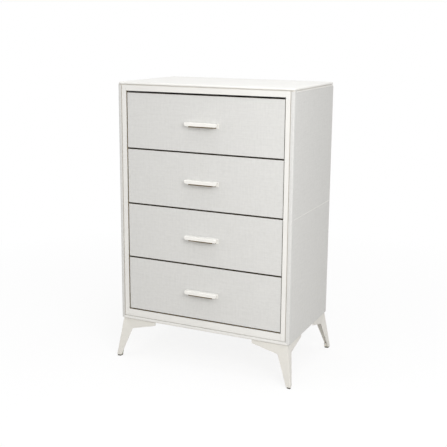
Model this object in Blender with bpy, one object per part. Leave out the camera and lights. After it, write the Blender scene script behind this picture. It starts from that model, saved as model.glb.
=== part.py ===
"""Tall chest of four drawers on folded sheet-steel corner legs.

The case has thick side panels, a lipped top, a beaded face frame and a thin back. Each drawer is a
board box behind an inset front, hung on a pair of roller runners. Metres, +Z up, the front faces -Y,
and the origin is on the floor under the middle of the case.
"""

import math

import bmesh
import bpy
from mathutils import Matrix, Vector

# Driving sizes of the whole chest
case_width = 0.710
case_depth = 0.434
case_height = 0.936
leg_height = 0.158
drawer_count = 4

# Clearances
fit_gap = 0.0003
cut_overrun = 0.006

# Top panel: a rounded lip over a body that shows as a thin band at the sides
top_lip_thickness = 0.008
top_lip_radius = 0.0055
top_lip_under_radius = 0.0012
top_plan_radius = 0.010
top_body_thickness = 0.0085
top_quirk_depth = 0.003

# Face frame: an outer bead, a quirk beside it and a flat inside the quirk
frame_thickness = 0.018
bead_width = 0.013
bead_radius = 0.006
bead_corner_radius = 0.008
quirk_width = 0.003
quirk_depth = 0.005
flat_setback = 0.001
stile_flat_width = 0.017
top_rail_flat_height = 0.0215
bottom_rail_flat_height = 0.026

# Side, bottom and back panels, and the cross rail between the middle drawers
side_thickness = 0.0305
side_inset = 0.0012
panel_edge_radius = 0.0010
bottom_thickness = 0.016
back_thickness = 0.003
back_rebate_width = 0.010
cross_rail_thickness = 0.016
cross_rail_depth = 0.080
cross_rail_setback = 0.004

# Joint strip halfway up each side: a cap over the joint and a tongue in it
strip_cap_height = 0.003
strip_cap_thickness = 0.0007
strip_tongue_thickness = 0.001
strip_tongue_depth = 0.006
strip_slot_clearance = 0.0003

# Drawer fronts
front_thickness = 0.016
front_recess = 0.006
front_edge_radius = 0.0008
front_side_gap = 0.003
front_top_gap = 0.0066
front_between_gap = 0.0044
front_bottom_gap = 0.004

# Drawer boxes
box_height = 0.140
box_rear_clearance = 0.0387
box_board = 0.012
box_rise = 0.032
box_bottom_thickness = 0.003
box_groove_rise = 0.008
box_groove_depth = 0.006
box_groove_clearance = 0.0003

# Handles: one strip folded into a back plate, a top plate and a front lip
handle_length = 0.132
handle_depth = 0.0225
handle_plate = 0.0025
handle_lip_height = 0.013
handle_lip_corner_radius = 0.0065
handle_back_height = 0.019
handle_fold_radius = 0.0022
handle_fold_radius_inside = 0.0006

# Roller runners
runner_rear_setback = 0.020
runner_space = 0.0127
runner_sheet = 0.0012
runner_front_clearance = 0.0015
runner_side_clearance = 0.0010
roller_diameter = 0.020
roller_width = 0.006
roller_clearance = 0.0003
roller_end_distance = 0.012
roller_pin_diameter = 0.006
roller_stub = 0.0006
runner_top_clearance = 0.0008
runner_hook_width = 0.011

# Legs: two upright wings, two leaning flanges and a screw plate, folded from one sheet
leg_sheet = 0.002
leg_inset = 0.005
leg_splay = 0.022
leg_wing_length = 0.144
leg_wing_end_height = 0.013
leg_armpit_run = 0.040
leg_armpit_drop = 0.039
leg_tip_width = 0.019
leg_fold_radius = 0.003
leg_plate_width = 0.026
leg_screw_diameter = 0.0055
leg_screw_far = 0.115

# Glides in the leg tips
glide_below = 0.006
glide_inside = 0.014
glide_width = 0.0145
glide_edge_radius = 0.0012

# Levels and planes that follow from the sizes above
case_bottom = leg_height
case_top = leg_height + case_height
case_middle = leg_height + case_height / 2
half_width = case_width / 2
half_depth = case_depth / 2
front_plane = -half_depth
frame_back_plane = front_plane + frame_thickness
frame_top = case_top - top_lip_thickness - fit_gap
top_body_bottom = case_top - top_lip_thickness - top_body_thickness
side_outer = half_width - side_inset
side_inner = side_outer - side_thickness
bead_and_quirk = bead_width + quirk_width
stile_inner = half_width - bead_and_quirk - stile_flat_width
opening_bottom = case_bottom + bead_and_quirk + bottom_rail_flat_height
opening_top = case_top - top_lip_thickness - quirk_width - top_rail_flat_height
opening_height = opening_top - opening_bottom
back_front_plane = half_depth - back_thickness
front_gaps = front_top_gap + front_bottom_gap + (drawer_count - 1) * front_between_gap
front_height = (opening_height - front_gaps) / drawer_count
front_width = (stile_inner - front_side_gap) * 2
drawer_pitch = front_height + front_between_gap
front_face_plane = front_plane + front_recess
box_front_plane = front_thickness + fit_gap
box_length = back_front_plane - front_face_plane - box_front_plane - box_rear_clearance
runner_length = box_length - runner_rear_setback
box_half_width = side_inner - runner_space
box_inner_half_width = box_half_width - box_board
leg_corner_x = half_width - leg_inset
leg_corner_y = half_depth - leg_inset
leg_drop = leg_height - glide_below - fit_gap

# How finely round forms are faceted
roller_sides = 20
round_segments = 4
fine_segments = 2
screw_sides = 12


def clear_scene():
    for obj in list(bpy.data.objects):
        bpy.data.objects.remove(obj, do_unlink=True)


def make_material(name, colour, roughness, metallic=0.0):
    material = bpy.data.materials.new(name)
    material.use_nodes = True
    shader = material.node_tree.nodes["Principled BSDF"]
    shader.inputs["Base Color"].default_value = (*colour, 1.0)
    shader.inputs["Roughness"].default_value = roughness
    shader.inputs["Metallic"].default_value = metallic
    return material


def white_lacquer():
    return make_material("white_lacquer", (0.86, 0.85, 0.82), 0.35)


def linen_foil():
    return make_material("linen_foil", (0.66, 0.65, 0.62), 0.75)


def white_powder_coat():
    return make_material("white_powder_coat", (0.80, 0.79, 0.76), 0.45)


def handle_coat():
    return make_material("handle_coat", (0.88, 0.87, 0.84), 0.35)


def white_foil_board():
    return make_material("white_foil_board", (0.80, 0.79, 0.76), 0.6)


def hardboard():
    return make_material("hardboard", (0.72, 0.70, 0.66), 0.7)


def runner_steel():
    return make_material("runner_steel", (0.82, 0.82, 0.80), 0.4, 0.3)


def glide_plastic():
    return make_material("glide_plastic", (0.10, 0.09, 0.07), 0.6)


def add_object(name, mesh, material, location=(0, 0, 0), parent=None, turn=0.0):
    """Links a mesh as one named piece, at a place and a turn about Z under its parent."""
    if not mesh.materials:
        mesh.materials.append(material)
    obj = bpy.data.objects.new(name, mesh)
    bpy.context.scene.collection.objects.link(obj)
    obj.location = location
    obj.rotation_euler = (0, 0, turn)
    obj.parent = parent
    return obj


def add_cutter(name, mesh, location=(0, 0, 0), parent=None, turn=0.0):
    """Adds a helper that only cuts: it isn't rendered and shows as wires."""
    cutter = bpy.data.objects.new(name, mesh)
    bpy.context.scene.collection.objects.link(cutter)
    cutter.location = location
    cutter.rotation_euler = (0, 0, turn)
    cutter.parent = parent
    cutter.hide_render = True
    cutter.display_type = "WIRE"
    return cutter


def add_empty(name, location):
    empty = bpy.data.objects.new(name, None)
    bpy.context.scene.collection.objects.link(empty)
    empty.location = location
    return empty


def cut(obj, cutter, operation="DIFFERENCE"):
    modifier = obj.modifiers.new(cutter.name, "BOOLEAN")
    modifier.operation = operation
    modifier.object = cutter


def to_mesh(name, bm):
    bmesh.ops.recalc_face_normals(bm, faces=bm.faces)
    mesh = bpy.data.meshes.new(name)
    bm.to_mesh(mesh)
    bm.free()
    return mesh


def block(low, high):
    """A box between two opposite corners."""
    bm = bmesh.new()
    low, high = Vector(low), Vector(high)
    bmesh.ops.create_cube(bm, size=1.0)
    bmesh.ops.scale(bm, vec=high - low, verts=bm.verts)
    bmesh.ops.translate(bm, vec=(low + high) / 2, verts=bm.verts)
    return bm


def prism(outline, direction):
    """An outline of points in one plane, pushed out along a direction."""
    bm = bmesh.new()
    face = bm.faces.new([bm.verts.new(point) for point in outline])
    pushed = bmesh.ops.extrude_face_region(bm, geom=[face])
    moved = [item for item in pushed["geom"] if isinstance(item, bmesh.types.BMVert)]
    bmesh.ops.translate(bm, vec=direction, verts=moved)
    return bm


def edges_where(bm, test):
    """The edges whose two ends both pass a test."""
    return [edge for edge in bm.edges if all(test(vert.co) for vert in edge.verts)]


def near(value, target):
    return abs(value - target) < fit_gap / 2


def along(edge, axis):
    """Whether an edge runs along one axis, given as 0, 1 or 2."""
    span = edge.verts[0].co - edge.verts[1].co
    return abs(span[axis]) > span.length - fit_gap / 2


def round_edges(bm, edges, radius, segments):
    bmesh.ops.bevel(bm, geom=edges, offset=radius, segments=segments, profile=0.5,
                    affect="EDGES", clamp_overlap=True, material=-1)


def soft_block_mesh(name, low, high, radius):
    """A board with its edges slightly broken."""
    bm = block(low, high)
    round_edges(bm, bm.edges[:], radius, 1)
    return to_mesh(name, bm)


def shade_round(mesh, angle=math.radians(35)):
    """Shades a mesh smooth, apart from its edges sharper than an angle."""
    mesh.shade_smooth()
    mesh.set_sharp_from_angle(angle=angle)
    return mesh


def top_lip_mesh():
    """The rounded plate that covers the whole case."""
    lip_bottom = case_top - top_lip_thickness
    bm = block((-half_width, -half_depth, lip_bottom), (half_width, half_depth, case_top))
    round_edges(bm, [edge for edge in bm.edges if along(edge, 2)], top_plan_radius, round_segments)
    upper = edges_where(bm, lambda co: near(co.z, case_top))
    round_edges(bm, upper, top_lip_radius, round_segments)
    under = edges_where(bm, lambda co: near(co.z, lip_bottom))
    round_edges(bm, under, top_lip_under_radius, 1)
    return shade_round(to_mesh("top_panel", bm))


def make_top_panel(material):
    """Lip and body in one board, with a quirk between them at the sides and a rebate for the back."""
    top = add_object("top_panel", top_lip_mesh(), material)
    lip_bottom = case_top - top_lip_thickness
    body_front = frame_back_plane + fit_gap
    body_back = half_depth - top_lip_radius
    body = to_mesh("top_body", block((-side_outer, body_front, top_body_bottom),
                                     (side_outer, body_back, lip_bottom + top_lip_thickness / 2)))
    cut(top, add_cutter("top_body_former", body), "UNION")
    quirk_inner = side_outer - top_quirk_depth
    for name, side in (("left", -1), ("right", 1)):
        edges = sorted((side * quirk_inner, side * (half_width + cut_overrun)))
        groove = block((edges[0], front_plane - cut_overrun, lip_bottom - quirk_width),
                       (edges[1], half_depth + cut_overrun, lip_bottom))
        cut(top, add_cutter("top_quirk_" + name, to_mesh("top_quirk_" + name, groove)))
    rebate_half = side_inner + back_rebate_width
    rebate = block((-rebate_half, back_front_plane - fit_gap, top_body_bottom - cut_overrun),
                   (rebate_half, half_depth + cut_overrun, lip_bottom))
    cut(top, add_cutter("top_back_rebate", to_mesh("top_back_rebate", rebate)))
    return top


def frame_blank_mesh(name):
    """The outline of the whole face frame as one slab, its outer front edge rolled to the bead."""
    bm = block((-half_width, front_plane, case_bottom), (half_width, frame_back_plane, frame_top))
    corners = [edge for edge in bm.edges if along(edge, 1) and near(edge.verts[0].co.z, case_bottom)]
    round_edges(bm, corners, bead_corner_radius, round_segments)
    front = edges_where(bm, lambda co: near(co.y, front_plane))
    rolled = [edge for edge in front if not all(near(vert.co.z, frame_top) for vert in edge.verts)]
    round_edges(bm, rolled, bead_radius, round_segments)
    return shade_round(to_mesh(name, bm))


def region_cutter(name, outline):
    """A cutter that keeps one member of the frame: points of X and Z, pushed through its thickness."""
    start = front_plane - cut_overrun
    depth = frame_thickness + cut_overrun * 2
    points = [(x, start, z) for x, z in outline]
    return add_cutter(name, to_mesh(name, prism(points, (0, depth, 0))))


def stile_outline(side):
    """A stile runs from the mitred bottom bead to the top panel's lip."""
    joint = fit_gap / 2
    mitre_top = case_bottom + bead_and_quirk + joint
    outside = half_width + cut_overrun
    points = [
        (outside, case_bottom - cut_overrun + joint),
        (half_width - bead_and_quirk, mitre_top),
        (stile_inner, mitre_top),
        (stile_inner, case_top),
        (outside, case_top),
    ]
    return [(side * x, z) for x, z in points]


def bottom_rail_outline():
    """The bottom rail fills between the stiles, and its bead runs out to the mitres."""
    joint = fit_gap / 2
    mitre_top = case_bottom + bead_and_quirk - joint
    half = [
        (half_width + cut_overrun - joint, case_bottom - cut_overrun),
        (half_width - bead_and_quirk, mitre_top),
        (stile_inner - fit_gap, mitre_top),
        (stile_inner - fit_gap, opening_bottom),
    ]
    return half + [(-x, z) for x, z in reversed(half)]


def top_rail_outline():
    half = stile_inner - fit_gap
    return [(-half, opening_top), (half, opening_top), (half, case_top), (-half, case_top)]


def quirk_cutters():
    """The grooves beside the bead: one up each side, one along the bottom and one under the lip."""
    face = front_plane - cut_overrun
    floor = front_plane + quirk_depth
    outer = half_width - bead_width
    inner = half_width - bead_and_quirk
    low = case_bottom + bead_width
    spans = {
        "left": ((-outer, low), (-inner, case_top)),
        "right": ((inner, low), (outer, case_top)),
        "bottom": ((-outer, low), (outer, low + quirk_width)),
        "top": ((-half_width - cut_overrun, frame_top - quirk_width), (half_width + cut_overrun, case_top)),
    }
    cutters = {}
    for name, ((x0, z0), (x1, z1)) in spans.items():
        mesh = to_mesh("quirk_" + name, block((x0, face, z0), (x1, floor, z1)))
        cutters[name] = add_cutter("quirk_" + name, mesh)
    return cutters


def flat_cutter():
    """Sets the flats a little behind the bead, over the whole inside of the quirks."""
    inner = half_width - bead_width
    low = (-inner, front_plane - cut_overrun, case_bottom + bead_width)
    high = (inner, front_plane + flat_setback, case_top)
    return add_cutter("frame_flats", to_mesh("frame_flats", block(low, high)))


def make_face_frame(material):
    """Two stiles and two rails, each cut from the same rolled blank."""
    quirks = quirk_cutters()
    flats = flat_cutter()
    members = (
        ("left_stile", stile_outline(-1), ("left", "top")),
        ("right_stile", stile_outline(1), ("right", "top")),
        ("top_rail", top_rail_outline(), ("top",)),
        ("bottom_rail", bottom_rail_outline(), ("bottom",)),
    )
    for name, outline, grooves in members:
        member = add_object(name, frame_blank_mesh(name), material)
        cut(member, region_cutter(name + "_region", outline), "INTERSECT")
        cut(member, flats)
        for groove in grooves:
            cut(member, quirks[groove])


def side_panel_mesh():
    """A panel in plan, with a rebate for the back, pushed up. Its outer face is at zero and it faces +X."""
    front = frame_back_plane + fit_gap
    rebate = back_front_plane - fit_gap
    edge = panel_edge_radius
    outline = [
        (0, front),
        (0, half_depth - edge),
        (-edge, half_depth),
        (-side_thickness + back_rebate_width, half_depth),
        (-side_thickness + back_rebate_width, rebate),
        (-side_thickness, rebate),
        (-side_thickness, front),
    ]
    height = top_body_bottom - fit_gap - case_bottom
    return to_mesh("side_panel", prism([(x, y, 0) for x, y in outline], (0, 0, height)))


def mirrored(mesh, name):
    """The same mesh with left and right swapped."""
    bm = bmesh.new()
    bm.from_mesh(mesh)
    bmesh.ops.scale(bm, vec=(-1, 1, 1), verts=bm.verts)
    return to_mesh(name, bm)


def strip_mesh():
    """The joint strip in section, a T lying on its side, run from front to back."""
    cap = strip_cap_height / 2
    tongue = strip_tongue_thickness / 2
    outline = [
        (fit_gap, -cap),
        (strip_cap_thickness, -cap + strip_cap_thickness / 2),
        (strip_cap_thickness, cap - strip_cap_thickness / 2),
        (fit_gap, cap),
        (fit_gap, tongue),
        (-strip_tongue_depth, tongue),
        (-strip_tongue_depth, -tongue),
        (fit_gap, -tongue),
    ]
    front = frame_back_plane + fit_gap
    length = half_depth - panel_edge_radius - front
    return to_mesh("joint_strip", prism([(x, front, z) for x, z in outline], (0, length, 0)))


def make_sides(panel_material, strip_material):
    """Both side panels, each with its slot and joint strip at half height."""
    right_panel = side_panel_mesh()
    right_strip = strip_mesh()
    sides = (
        ("right", 1, right_panel, right_strip),
        ("left", -1, mirrored(right_panel, "side_panel_left"), mirrored(right_strip, "joint_strip_left")),
    )
    slot_half = strip_tongue_thickness / 2 + strip_slot_clearance
    slot_floor = side_outer - strip_tongue_depth - strip_slot_clearance
    for name, side, panel_mesh, strip in sides:
        panel = add_object(name + "_side_panel", panel_mesh, panel_material, (side * side_outer, 0, case_bottom))
        spans = sorted((side * slot_floor, side * (side_outer + cut_overrun)))
        slot = block((spans[0], front_plane, case_middle - slot_half),
                     (spans[1], half_depth + cut_overrun, case_middle + slot_half))
        cut(panel, add_cutter(name + "_slot", to_mesh(name + "_slot", slot)))
        add_object(name + "_joint_strip", strip, strip_material, (side * side_outer, 0, case_middle))


def make_bottom_panel(material):
    half = side_inner - fit_gap
    mesh = soft_block_mesh("bottom_panel", (-half, frame_back_plane + fit_gap, case_bottom),
                           (half, back_front_plane - fit_gap, case_bottom + bottom_thickness),
                           front_edge_radius)
    add_object("bottom_panel", mesh, material)


def make_back_panel(material):
    """A thin board in the rebates of the sides and the top, over the back edge of the bottom panel."""
    half = side_inner + back_rebate_width - fit_gap
    top = case_top - top_lip_thickness - fit_gap
    mesh = to_mesh("back_panel", block((-half, back_front_plane, case_bottom), (half, half_depth, top)))
    add_object("back_panel", mesh, material)


def drawer_base(index):
    """The height of a drawer front's lower edge, counted from the top drawer."""
    return opening_top - front_top_gap - front_height - index * drawer_pitch


def make_cross_rail(material):
    """A rail that ties the sides together behind the middle gap, clear of the drawer boxes."""
    half = side_inner - fit_gap
    level = drawer_base(drawer_count // 2 - 1) - front_between_gap / 2
    front = front_face_plane + front_thickness + cross_rail_setback
    low = (-half, front, level - cross_rail_thickness / 2)
    high = (half, front + cross_rail_depth, level + cross_rail_thickness / 2)
    add_object("cross_rail", soft_block_mesh("cross_rail", low, high, front_edge_radius), material)


def flange_direction():
    """The level direction of a leaning flange away from the ridge, in a leg's own axes.

    The flange holds both the fold, from the corner to the armpit, and the ridge, from the corner to
    the tip. The leg's corner is at the origin and the leg spreads out towards +X and +Y.
    """
    steps = leg_drop / leg_armpit_drop
    fold_end = Vector((-leg_armpit_run * steps, 0, -leg_drop))
    ridge_end = Vector((leg_splay, leg_splay, -leg_drop))
    return (fold_end - ridge_end).normalized()


def swapped(point):
    """The same point on the other side of the leg's diagonal."""
    return Vector((point.y, point.x, point.z))


def leg_sheet_bmesh():
    """The leg's outer skin before it gets its thickness: wings, flanges and screw plate."""
    corner = Vector((0, 0, 0))
    wing_top = Vector((-leg_wing_length, 0, 0))
    wing_end = Vector((-leg_wing_length, 0, -leg_wing_end_height))
    armpit = Vector((-leg_armpit_run, 0, -leg_armpit_drop))
    tip = Vector((leg_splay, leg_splay, -leg_drop))
    tip_inner = tip + flange_direction() * leg_tip_width
    plate_outer = Vector((-leg_wing_length, -leg_plate_width, 0))
    plate_inner = Vector((-leg_plate_width, -leg_plate_width, 0))
    bm = bmesh.new()
    vert = {name: bm.verts.new(point) for name, point in (
        ("corner", corner), ("tip", tip), ("plate_inner", plate_inner),
        ("wing_top", wing_top), ("wing_end", wing_end), ("armpit", armpit),
        ("tip_inner", tip_inner), ("plate_outer", plate_outer),
        ("wing_top_b", swapped(wing_top)), ("wing_end_b", swapped(wing_end)),
        ("armpit_b", swapped(armpit)), ("tip_inner_b", swapped(tip_inner)),
        ("plate_outer_b", swapped(plate_outer)))}
    faces = (
        ("corner", "wing_top", "wing_end", "armpit"),
        ("corner", "armpit", "tip_inner", "tip"),
        ("corner", "armpit_b", "wing_end_b", "wing_top_b"),
        ("corner", "tip", "tip_inner_b", "armpit_b"),
        ("corner", "wing_top_b", "plate_outer_b", "plate_inner", "plate_outer", "wing_top"),
    )
    for names in faces:
        bm.faces.new([vert[name] for name in names])
    return bm


def leg_mesh():
    bm = leg_sheet_bmesh()
    bmesh.ops.recalc_face_normals(bm, faces=bm.faces)
    upward = max(bm.faces, key=lambda face: len(face.verts))
    if upward.normal.z < 0:
        bmesh.ops.reverse_faces(bm, faces=bm.faces)
    folds = [edge for edge in bm.edges if len(edge.link_faces) == 2]
    round_edges(bm, folds, leg_fold_radius, fine_segments)
    mesh = bpy.data.meshes.new("leg")
    bm.to_mesh(mesh)
    bm.free()
    return mesh


def screw_hole_mesh():
    """Three upright plugs through the screw plate, one near the corner and one out along each wing."""
    bm = bmesh.new()
    middle = leg_plate_width / 2
    for x, y in ((leg_screw_far, middle), (middle, leg_screw_far), (middle, middle)):
        shift = Matrix.Translation((-x, -y, 0))
        bmesh.ops.create_cone(bm, cap_ends=True, segments=screw_sides, radius1=leg_screw_diameter / 2,
                              radius2=leg_screw_diameter / 2, depth=cut_overrun * 2, matrix=shift)
    return to_mesh("leg_screw_holes", bm)


def glide_mesh():
    """A block that leans with the leg: it fills the inside of the fold and stands below the tip."""
    ridge = Vector((leg_splay, leg_splay, -leg_drop)) / leg_drop
    toward_x = flange_direction()
    toward_y = swapped(toward_x)
    sheet_side = leg_sheet + fit_gap
    inset = (toward_x + toward_y) * sheet_side
    foot = ridge * (leg_height - fit_gap) + inset
    foot.z = -leg_height
    head_rise = -ridge * (glide_below + glide_inside)
    corners = (
        foot,
        foot + toward_x * glide_width,
        foot + (toward_x + toward_y) * glide_width,
        foot + toward_y * glide_width,
    )
    bm = prism([tuple(corner) for corner in corners], head_rise)
    uprights = [edge for edge in bm.edges if abs(edge.verts[0].co.z - edge.verts[1].co.z) > glide_below]
    round_edges(bm, uprights, glide_edge_radius, fine_segments)
    return to_mesh("glide", bm)


def make_legs(leg_material, glide_material):
    """One leg at each corner. A leg is alike on both sides of its diagonal, so quarter turns place all."""
    leg = leg_mesh()
    glide = glide_mesh()
    holes = screw_hole_mesh()
    corners = (
        ("back_right", 1, 1, 0),
        ("back_left", -1, 1, math.pi / 2),
        ("front_left", -1, -1, math.pi),
        ("front_right", 1, -1, -math.pi / 2),
    )
    for name, side_x, side_y, turn in corners:
        place = (side_x * leg_corner_x, side_y * leg_corner_y, case_bottom - fit_gap)
        piece = add_object("leg_" + name, leg, leg_material, place, turn=turn)
        wall = piece.modifiers.new("sheet", "SOLIDIFY")
        wall.thickness = leg_sheet
        wall.offset = -1
        wall.use_even_offset = True
        wall.use_quality_normals = True
        cut(piece, add_cutter("screw_holes_" + name, holes, place, turn=turn))
        foot_place = (place[0], place[1], case_bottom)
        add_object("glide_" + name, glide, glide_material, foot_place, turn=turn)


def cabinet_runner_mesh():
    """The cabinet member: a channel along the side panel with a roller at its front end.

    X is measured inwards from the side panel's face, Y from the member's front end, and Z from the
    drawer box's lower edge.
    """
    web_out = fit_gap
    web_in = fit_gap + runner_sheet
    reach = runner_space - runner_sheet - fit_gap - runner_side_clearance
    track = -roller_clearance
    low = track - runner_sheet
    ceiling = roller_diameter + roller_clearance + runner_sheet + runner_top_clearance
    high = ceiling + runner_sheet
    outline = [
        (web_out, low), (reach, low), (reach, track), (web_in, track),
        (web_in, ceiling), (reach, ceiling), (reach, high), (web_out, high),
    ]
    bm = prism([(x, 0, z) for x, z in outline], (0, runner_length, 0))
    return to_mesh("cabinet_runner", bm)


def drawer_runner_mesh():
    """The drawer member: a hook under the box side, a web up it and a rail that runs over the roller.

    X is measured outwards from the box side's face, Y from the member's front end, and Z from the
    box's lower edge.
    """
    web_in = fit_gap
    web_out = fit_gap + runner_sheet
    reach = runner_space - fit_gap - runner_sheet - runner_front_clearance
    rail_under = roller_diameter + roller_clearance
    rail_over = rail_under + runner_sheet
    hook_top = -fit_gap
    hook_under = hook_top - runner_sheet
    outline = [
        (-runner_hook_width, hook_under), (web_out, hook_under), (web_out, rail_under),
        (reach, rail_under), (reach, rail_over), (web_in, rail_over), (web_in, hook_top),
        (-runner_hook_width, hook_top),
    ]
    bm = prism([(x, 0, z) for x, z in outline], (0, runner_length, 0))
    return to_mesh("drawer_runner", bm)


def roller_mesh(name, from_web, distance):
    """A roller on its pin, lying along X, at a distance from the member's front end."""
    bm = bmesh.new()
    level = roller_diameter / 2
    middle = from_web + roller_stub + roller_width / 2
    lie = Matrix.Rotation(math.pi / 2, 4, "Y")
    place = Matrix.Translation((middle, distance, level))
    bmesh.ops.create_cone(bm, cap_ends=True, segments=roller_sides, radius1=roller_diameter / 2,
                          radius2=roller_diameter / 2, depth=roller_width, matrix=place @ lie)
    return shade_round(to_mesh(name, bm))


def roller_pin_mesh(name, from_web, distance):
    """The short pin that joins a roller to its member."""
    bm = bmesh.new()
    start = from_web - runner_sheet / 2
    end = from_web + roller_stub + roller_width / 2
    lie = Matrix.Rotation(math.pi / 2, 4, "Y")
    place = Matrix.Translation(((start + end) / 2, distance, roller_diameter / 2))
    bmesh.ops.create_cone(bm, cap_ends=True, segments=screw_sides, radius1=roller_pin_diameter / 2,
                          radius2=roller_pin_diameter / 2, depth=end - start, matrix=place @ lie)
    return shade_round(to_mesh(name, bm))


def add_roller(member, name, side, distance, location, parent):
    """Joins a roller and its pin to a runner member. Side is the way the member's X points."""
    from_web = fit_gap + runner_sheet
    for mesh in (roller_pin_mesh(name + "_pin", from_web, distance), roller_mesh(name, from_web, distance)):
        if side < 0:
            mesh = mirrored(mesh, mesh.name + "_turned")
        cut(member, add_cutter(mesh.name, mesh, location, parent), "UNION")


def make_cabinet_runners(index, slide, material, meshes):
    """A pair of cabinet members for one drawer, fixed to the side panels."""
    base = slide.location.z
    front = front_face_plane + front_thickness + runner_front_clearance
    for name, side in (("left", -1), ("right", 1)):
        place = (side * side_inner, front, base + box_rise)
        member = add_object("cabinet_runner_%d_%s" % (index + 1, name), meshes[-side], material, place)
        add_roller(member, member.name + "_roller", -side, roller_end_distance, place, None)


def make_drawer_runners(index, slide, material, meshes):
    """A pair of drawer members, each hooked under one side of the drawer box."""
    front = front_thickness + fit_gap
    distance = runner_length - roller_end_distance
    for name, side in (("left", -1), ("right", 1)):
        place = (side * box_half_width, front, box_rise)
        member = add_object("drawer_%d_runner_%s" % (index + 1, name), meshes[side], material, place, slide)
        add_roller(member, member.name + "_roller", side, distance, place, slide)


def drawer_front_mesh():
    """The front, with a groove along its back for the box bottom. Its outer face is at zero."""
    groove_low = box_rise + box_groove_rise
    groove_high = groove_low + box_bottom_thickness + box_groove_clearance * 2
    edge = front_edge_radius
    back = front_thickness
    outline = [
        (edge, 0), (back, 0), (back, groove_low), (back - box_groove_depth, groove_low),
        (back - box_groove_depth, groove_high), (back, groove_high), (back, front_height),
        (edge, front_height), (0, front_height - edge), (0, edge),
    ]
    bm = prism([(-front_width / 2, y, z) for y, z in outline], (front_width, 0, 0))
    upright = edges_where(bm, lambda co: near(co.y, 0))
    round_edges(bm, [edge for edge in upright if along(edge, 2)], front_edge_radius / 2, 1)
    return to_mesh("drawer_front", bm)


def box_side_mesh():
    """One side of the drawer box, in section with the groove for the bottom. Its outer face is at zero."""
    groove_low = box_groove_rise
    groove_high = groove_low + box_bottom_thickness + box_groove_clearance * 2
    inner = -box_board
    edge = front_edge_radius
    outline = [
        (0, 0), (0, box_height - edge), (-edge, box_height), (inner + edge, box_height),
        (inner, box_height - edge), (inner, groove_high), (inner + box_groove_depth, groove_high),
        (inner + box_groove_depth, groove_low), (inner, groove_low), (inner, 0),
    ]
    return to_mesh("drawer_box_side", prism([(x, 0, z) for x, z in outline], (0, box_length, 0)))


def box_back_mesh():
    """The back stands on the box bottom between the sides."""
    half = box_inner_half_width - fit_gap
    low_edge = box_groove_rise + box_bottom_thickness + box_groove_clearance * 2
    return soft_block_mesh("drawer_box_back", (-half, -box_board, low_edge), (half, 0, box_height),
                           front_edge_radius)


def box_bottom_mesh():
    """The thin bottom reaches into the grooves of the sides and the front."""
    half = box_inner_half_width + box_groove_depth - box_groove_clearance
    front = -box_groove_depth + box_groove_clearance
    level = box_groove_rise + box_groove_clearance
    return to_mesh("drawer_box_bottom", block((-half, front, level),
                                              (half, box_length, level + box_bottom_thickness)))


def handle_mesh():
    """The pull in section, run across. The drawer's face is at zero and the top plate's top is at zero."""
    back = -fit_gap
    front = -handle_depth
    plate = handle_plate
    outline = [
        (back, 0), (back, -handle_back_height), (back - plate, -handle_back_height),
        (back - plate, -plate), (front + plate, -plate), (front + plate, -handle_lip_height),
        (front, -handle_lip_height), (front, 0),
    ]
    bm = prism([(-handle_length / 2, y, z) for y, z in outline], (handle_length, 0, 0))
    corners = [edge for edge in bm.edges if along(edge, 1) and near(edge.verts[0].co.z, -handle_lip_height)]
    round_edges(bm, corners, handle_lip_corner_radius, round_segments)
    outer = [edge for edge in bm.edges if along(edge, 0) and near(edge.verts[0].co.z, 0)]
    round_edges(bm, outer, handle_fold_radius, round_segments)
    lips = [edge for edge in bm.edges if along(edge, 0) and near(edge.verts[0].co.z, -handle_lip_height)]
    round_edges(bm, lips, handle_fold_radius_inside, 1)
    return shade_round(to_mesh("handle", bm))


def make_drawers(materials):
    """All drawers from shared meshes, each under an empty on its own slide line."""
    front = drawer_front_mesh()
    side_right = box_side_mesh()
    side_left = mirrored(side_right, "drawer_box_side_left")
    back = box_back_mesh()
    bottom = box_bottom_mesh()
    handle = handle_mesh()
    cabinet_right = cabinet_runner_mesh()
    cabinet = {1: cabinet_right, -1: mirrored(cabinet_right, "cabinet_runner_turned")}
    member_right = drawer_runner_mesh()
    member = {1: member_right, -1: mirrored(member_right, "drawer_runner_turned")}
    handle_rise = front_height / 2 + handle_lip_height / 2
    for index in range(drawer_count):
        slide = add_empty("drawer_%d_slide" % (index + 1), (0, front_face_plane, drawer_base(index)))
        label = "drawer_%d_" % (index + 1)
        add_object(label + "front", front, materials["linen"], parent=slide)
        add_object(label + "side_left", side_left, materials["foil"],
                   (-box_half_width, box_front_plane, box_rise), slide)
        add_object(label + "side_right", side_right, materials["foil"],
                   (box_half_width, box_front_plane, box_rise), slide)
        add_object(label + "back", back, materials["foil"],
                   (0, box_front_plane + box_length, box_rise), slide)
        add_object(label + "bottom", bottom, materials["hardboard"], (0, box_front_plane, box_rise), slide)
        add_object(label + "handle", handle, materials["handle"], (0, 0, handle_rise), slide)
        make_drawer_runners(index, slide, materials["runner"], member)
        make_cabinet_runners(index, slide, materials["runner"], cabinet)


def main():
    clear_scene()
    lacquer = white_lacquer()
    linen = linen_foil()
    foil = white_foil_board()
    board = hardboard()
    make_top_panel(lacquer)
    make_face_frame(lacquer)
    make_sides(linen, lacquer)
    make_bottom_panel(foil)
    make_back_panel(board)
    make_cross_rail(foil)
    make_legs(white_powder_coat(), glide_plastic())
    make_drawers({
        "linen": linen,
        "foil": foil,
        "hardboard": board,
        "handle": handle_coat(),
        "runner": runner_steel(),
    })


main()
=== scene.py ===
"""Surfaces, mouldings and hardware of a tall chest of four drawers, with a plain studio round it.

The file is laid out as an add-on and is run as a script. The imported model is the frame: each piece
takes its place from a node's box, rides on that node's body and stands for the node.
Metres, +Z up, and the chest faces -Y.
"""

import math

import bmesh
import bpy
from bpy.props import FloatProperty, FloatVectorProperty, PointerProperty
from mathutils import Matrix, Vector


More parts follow.
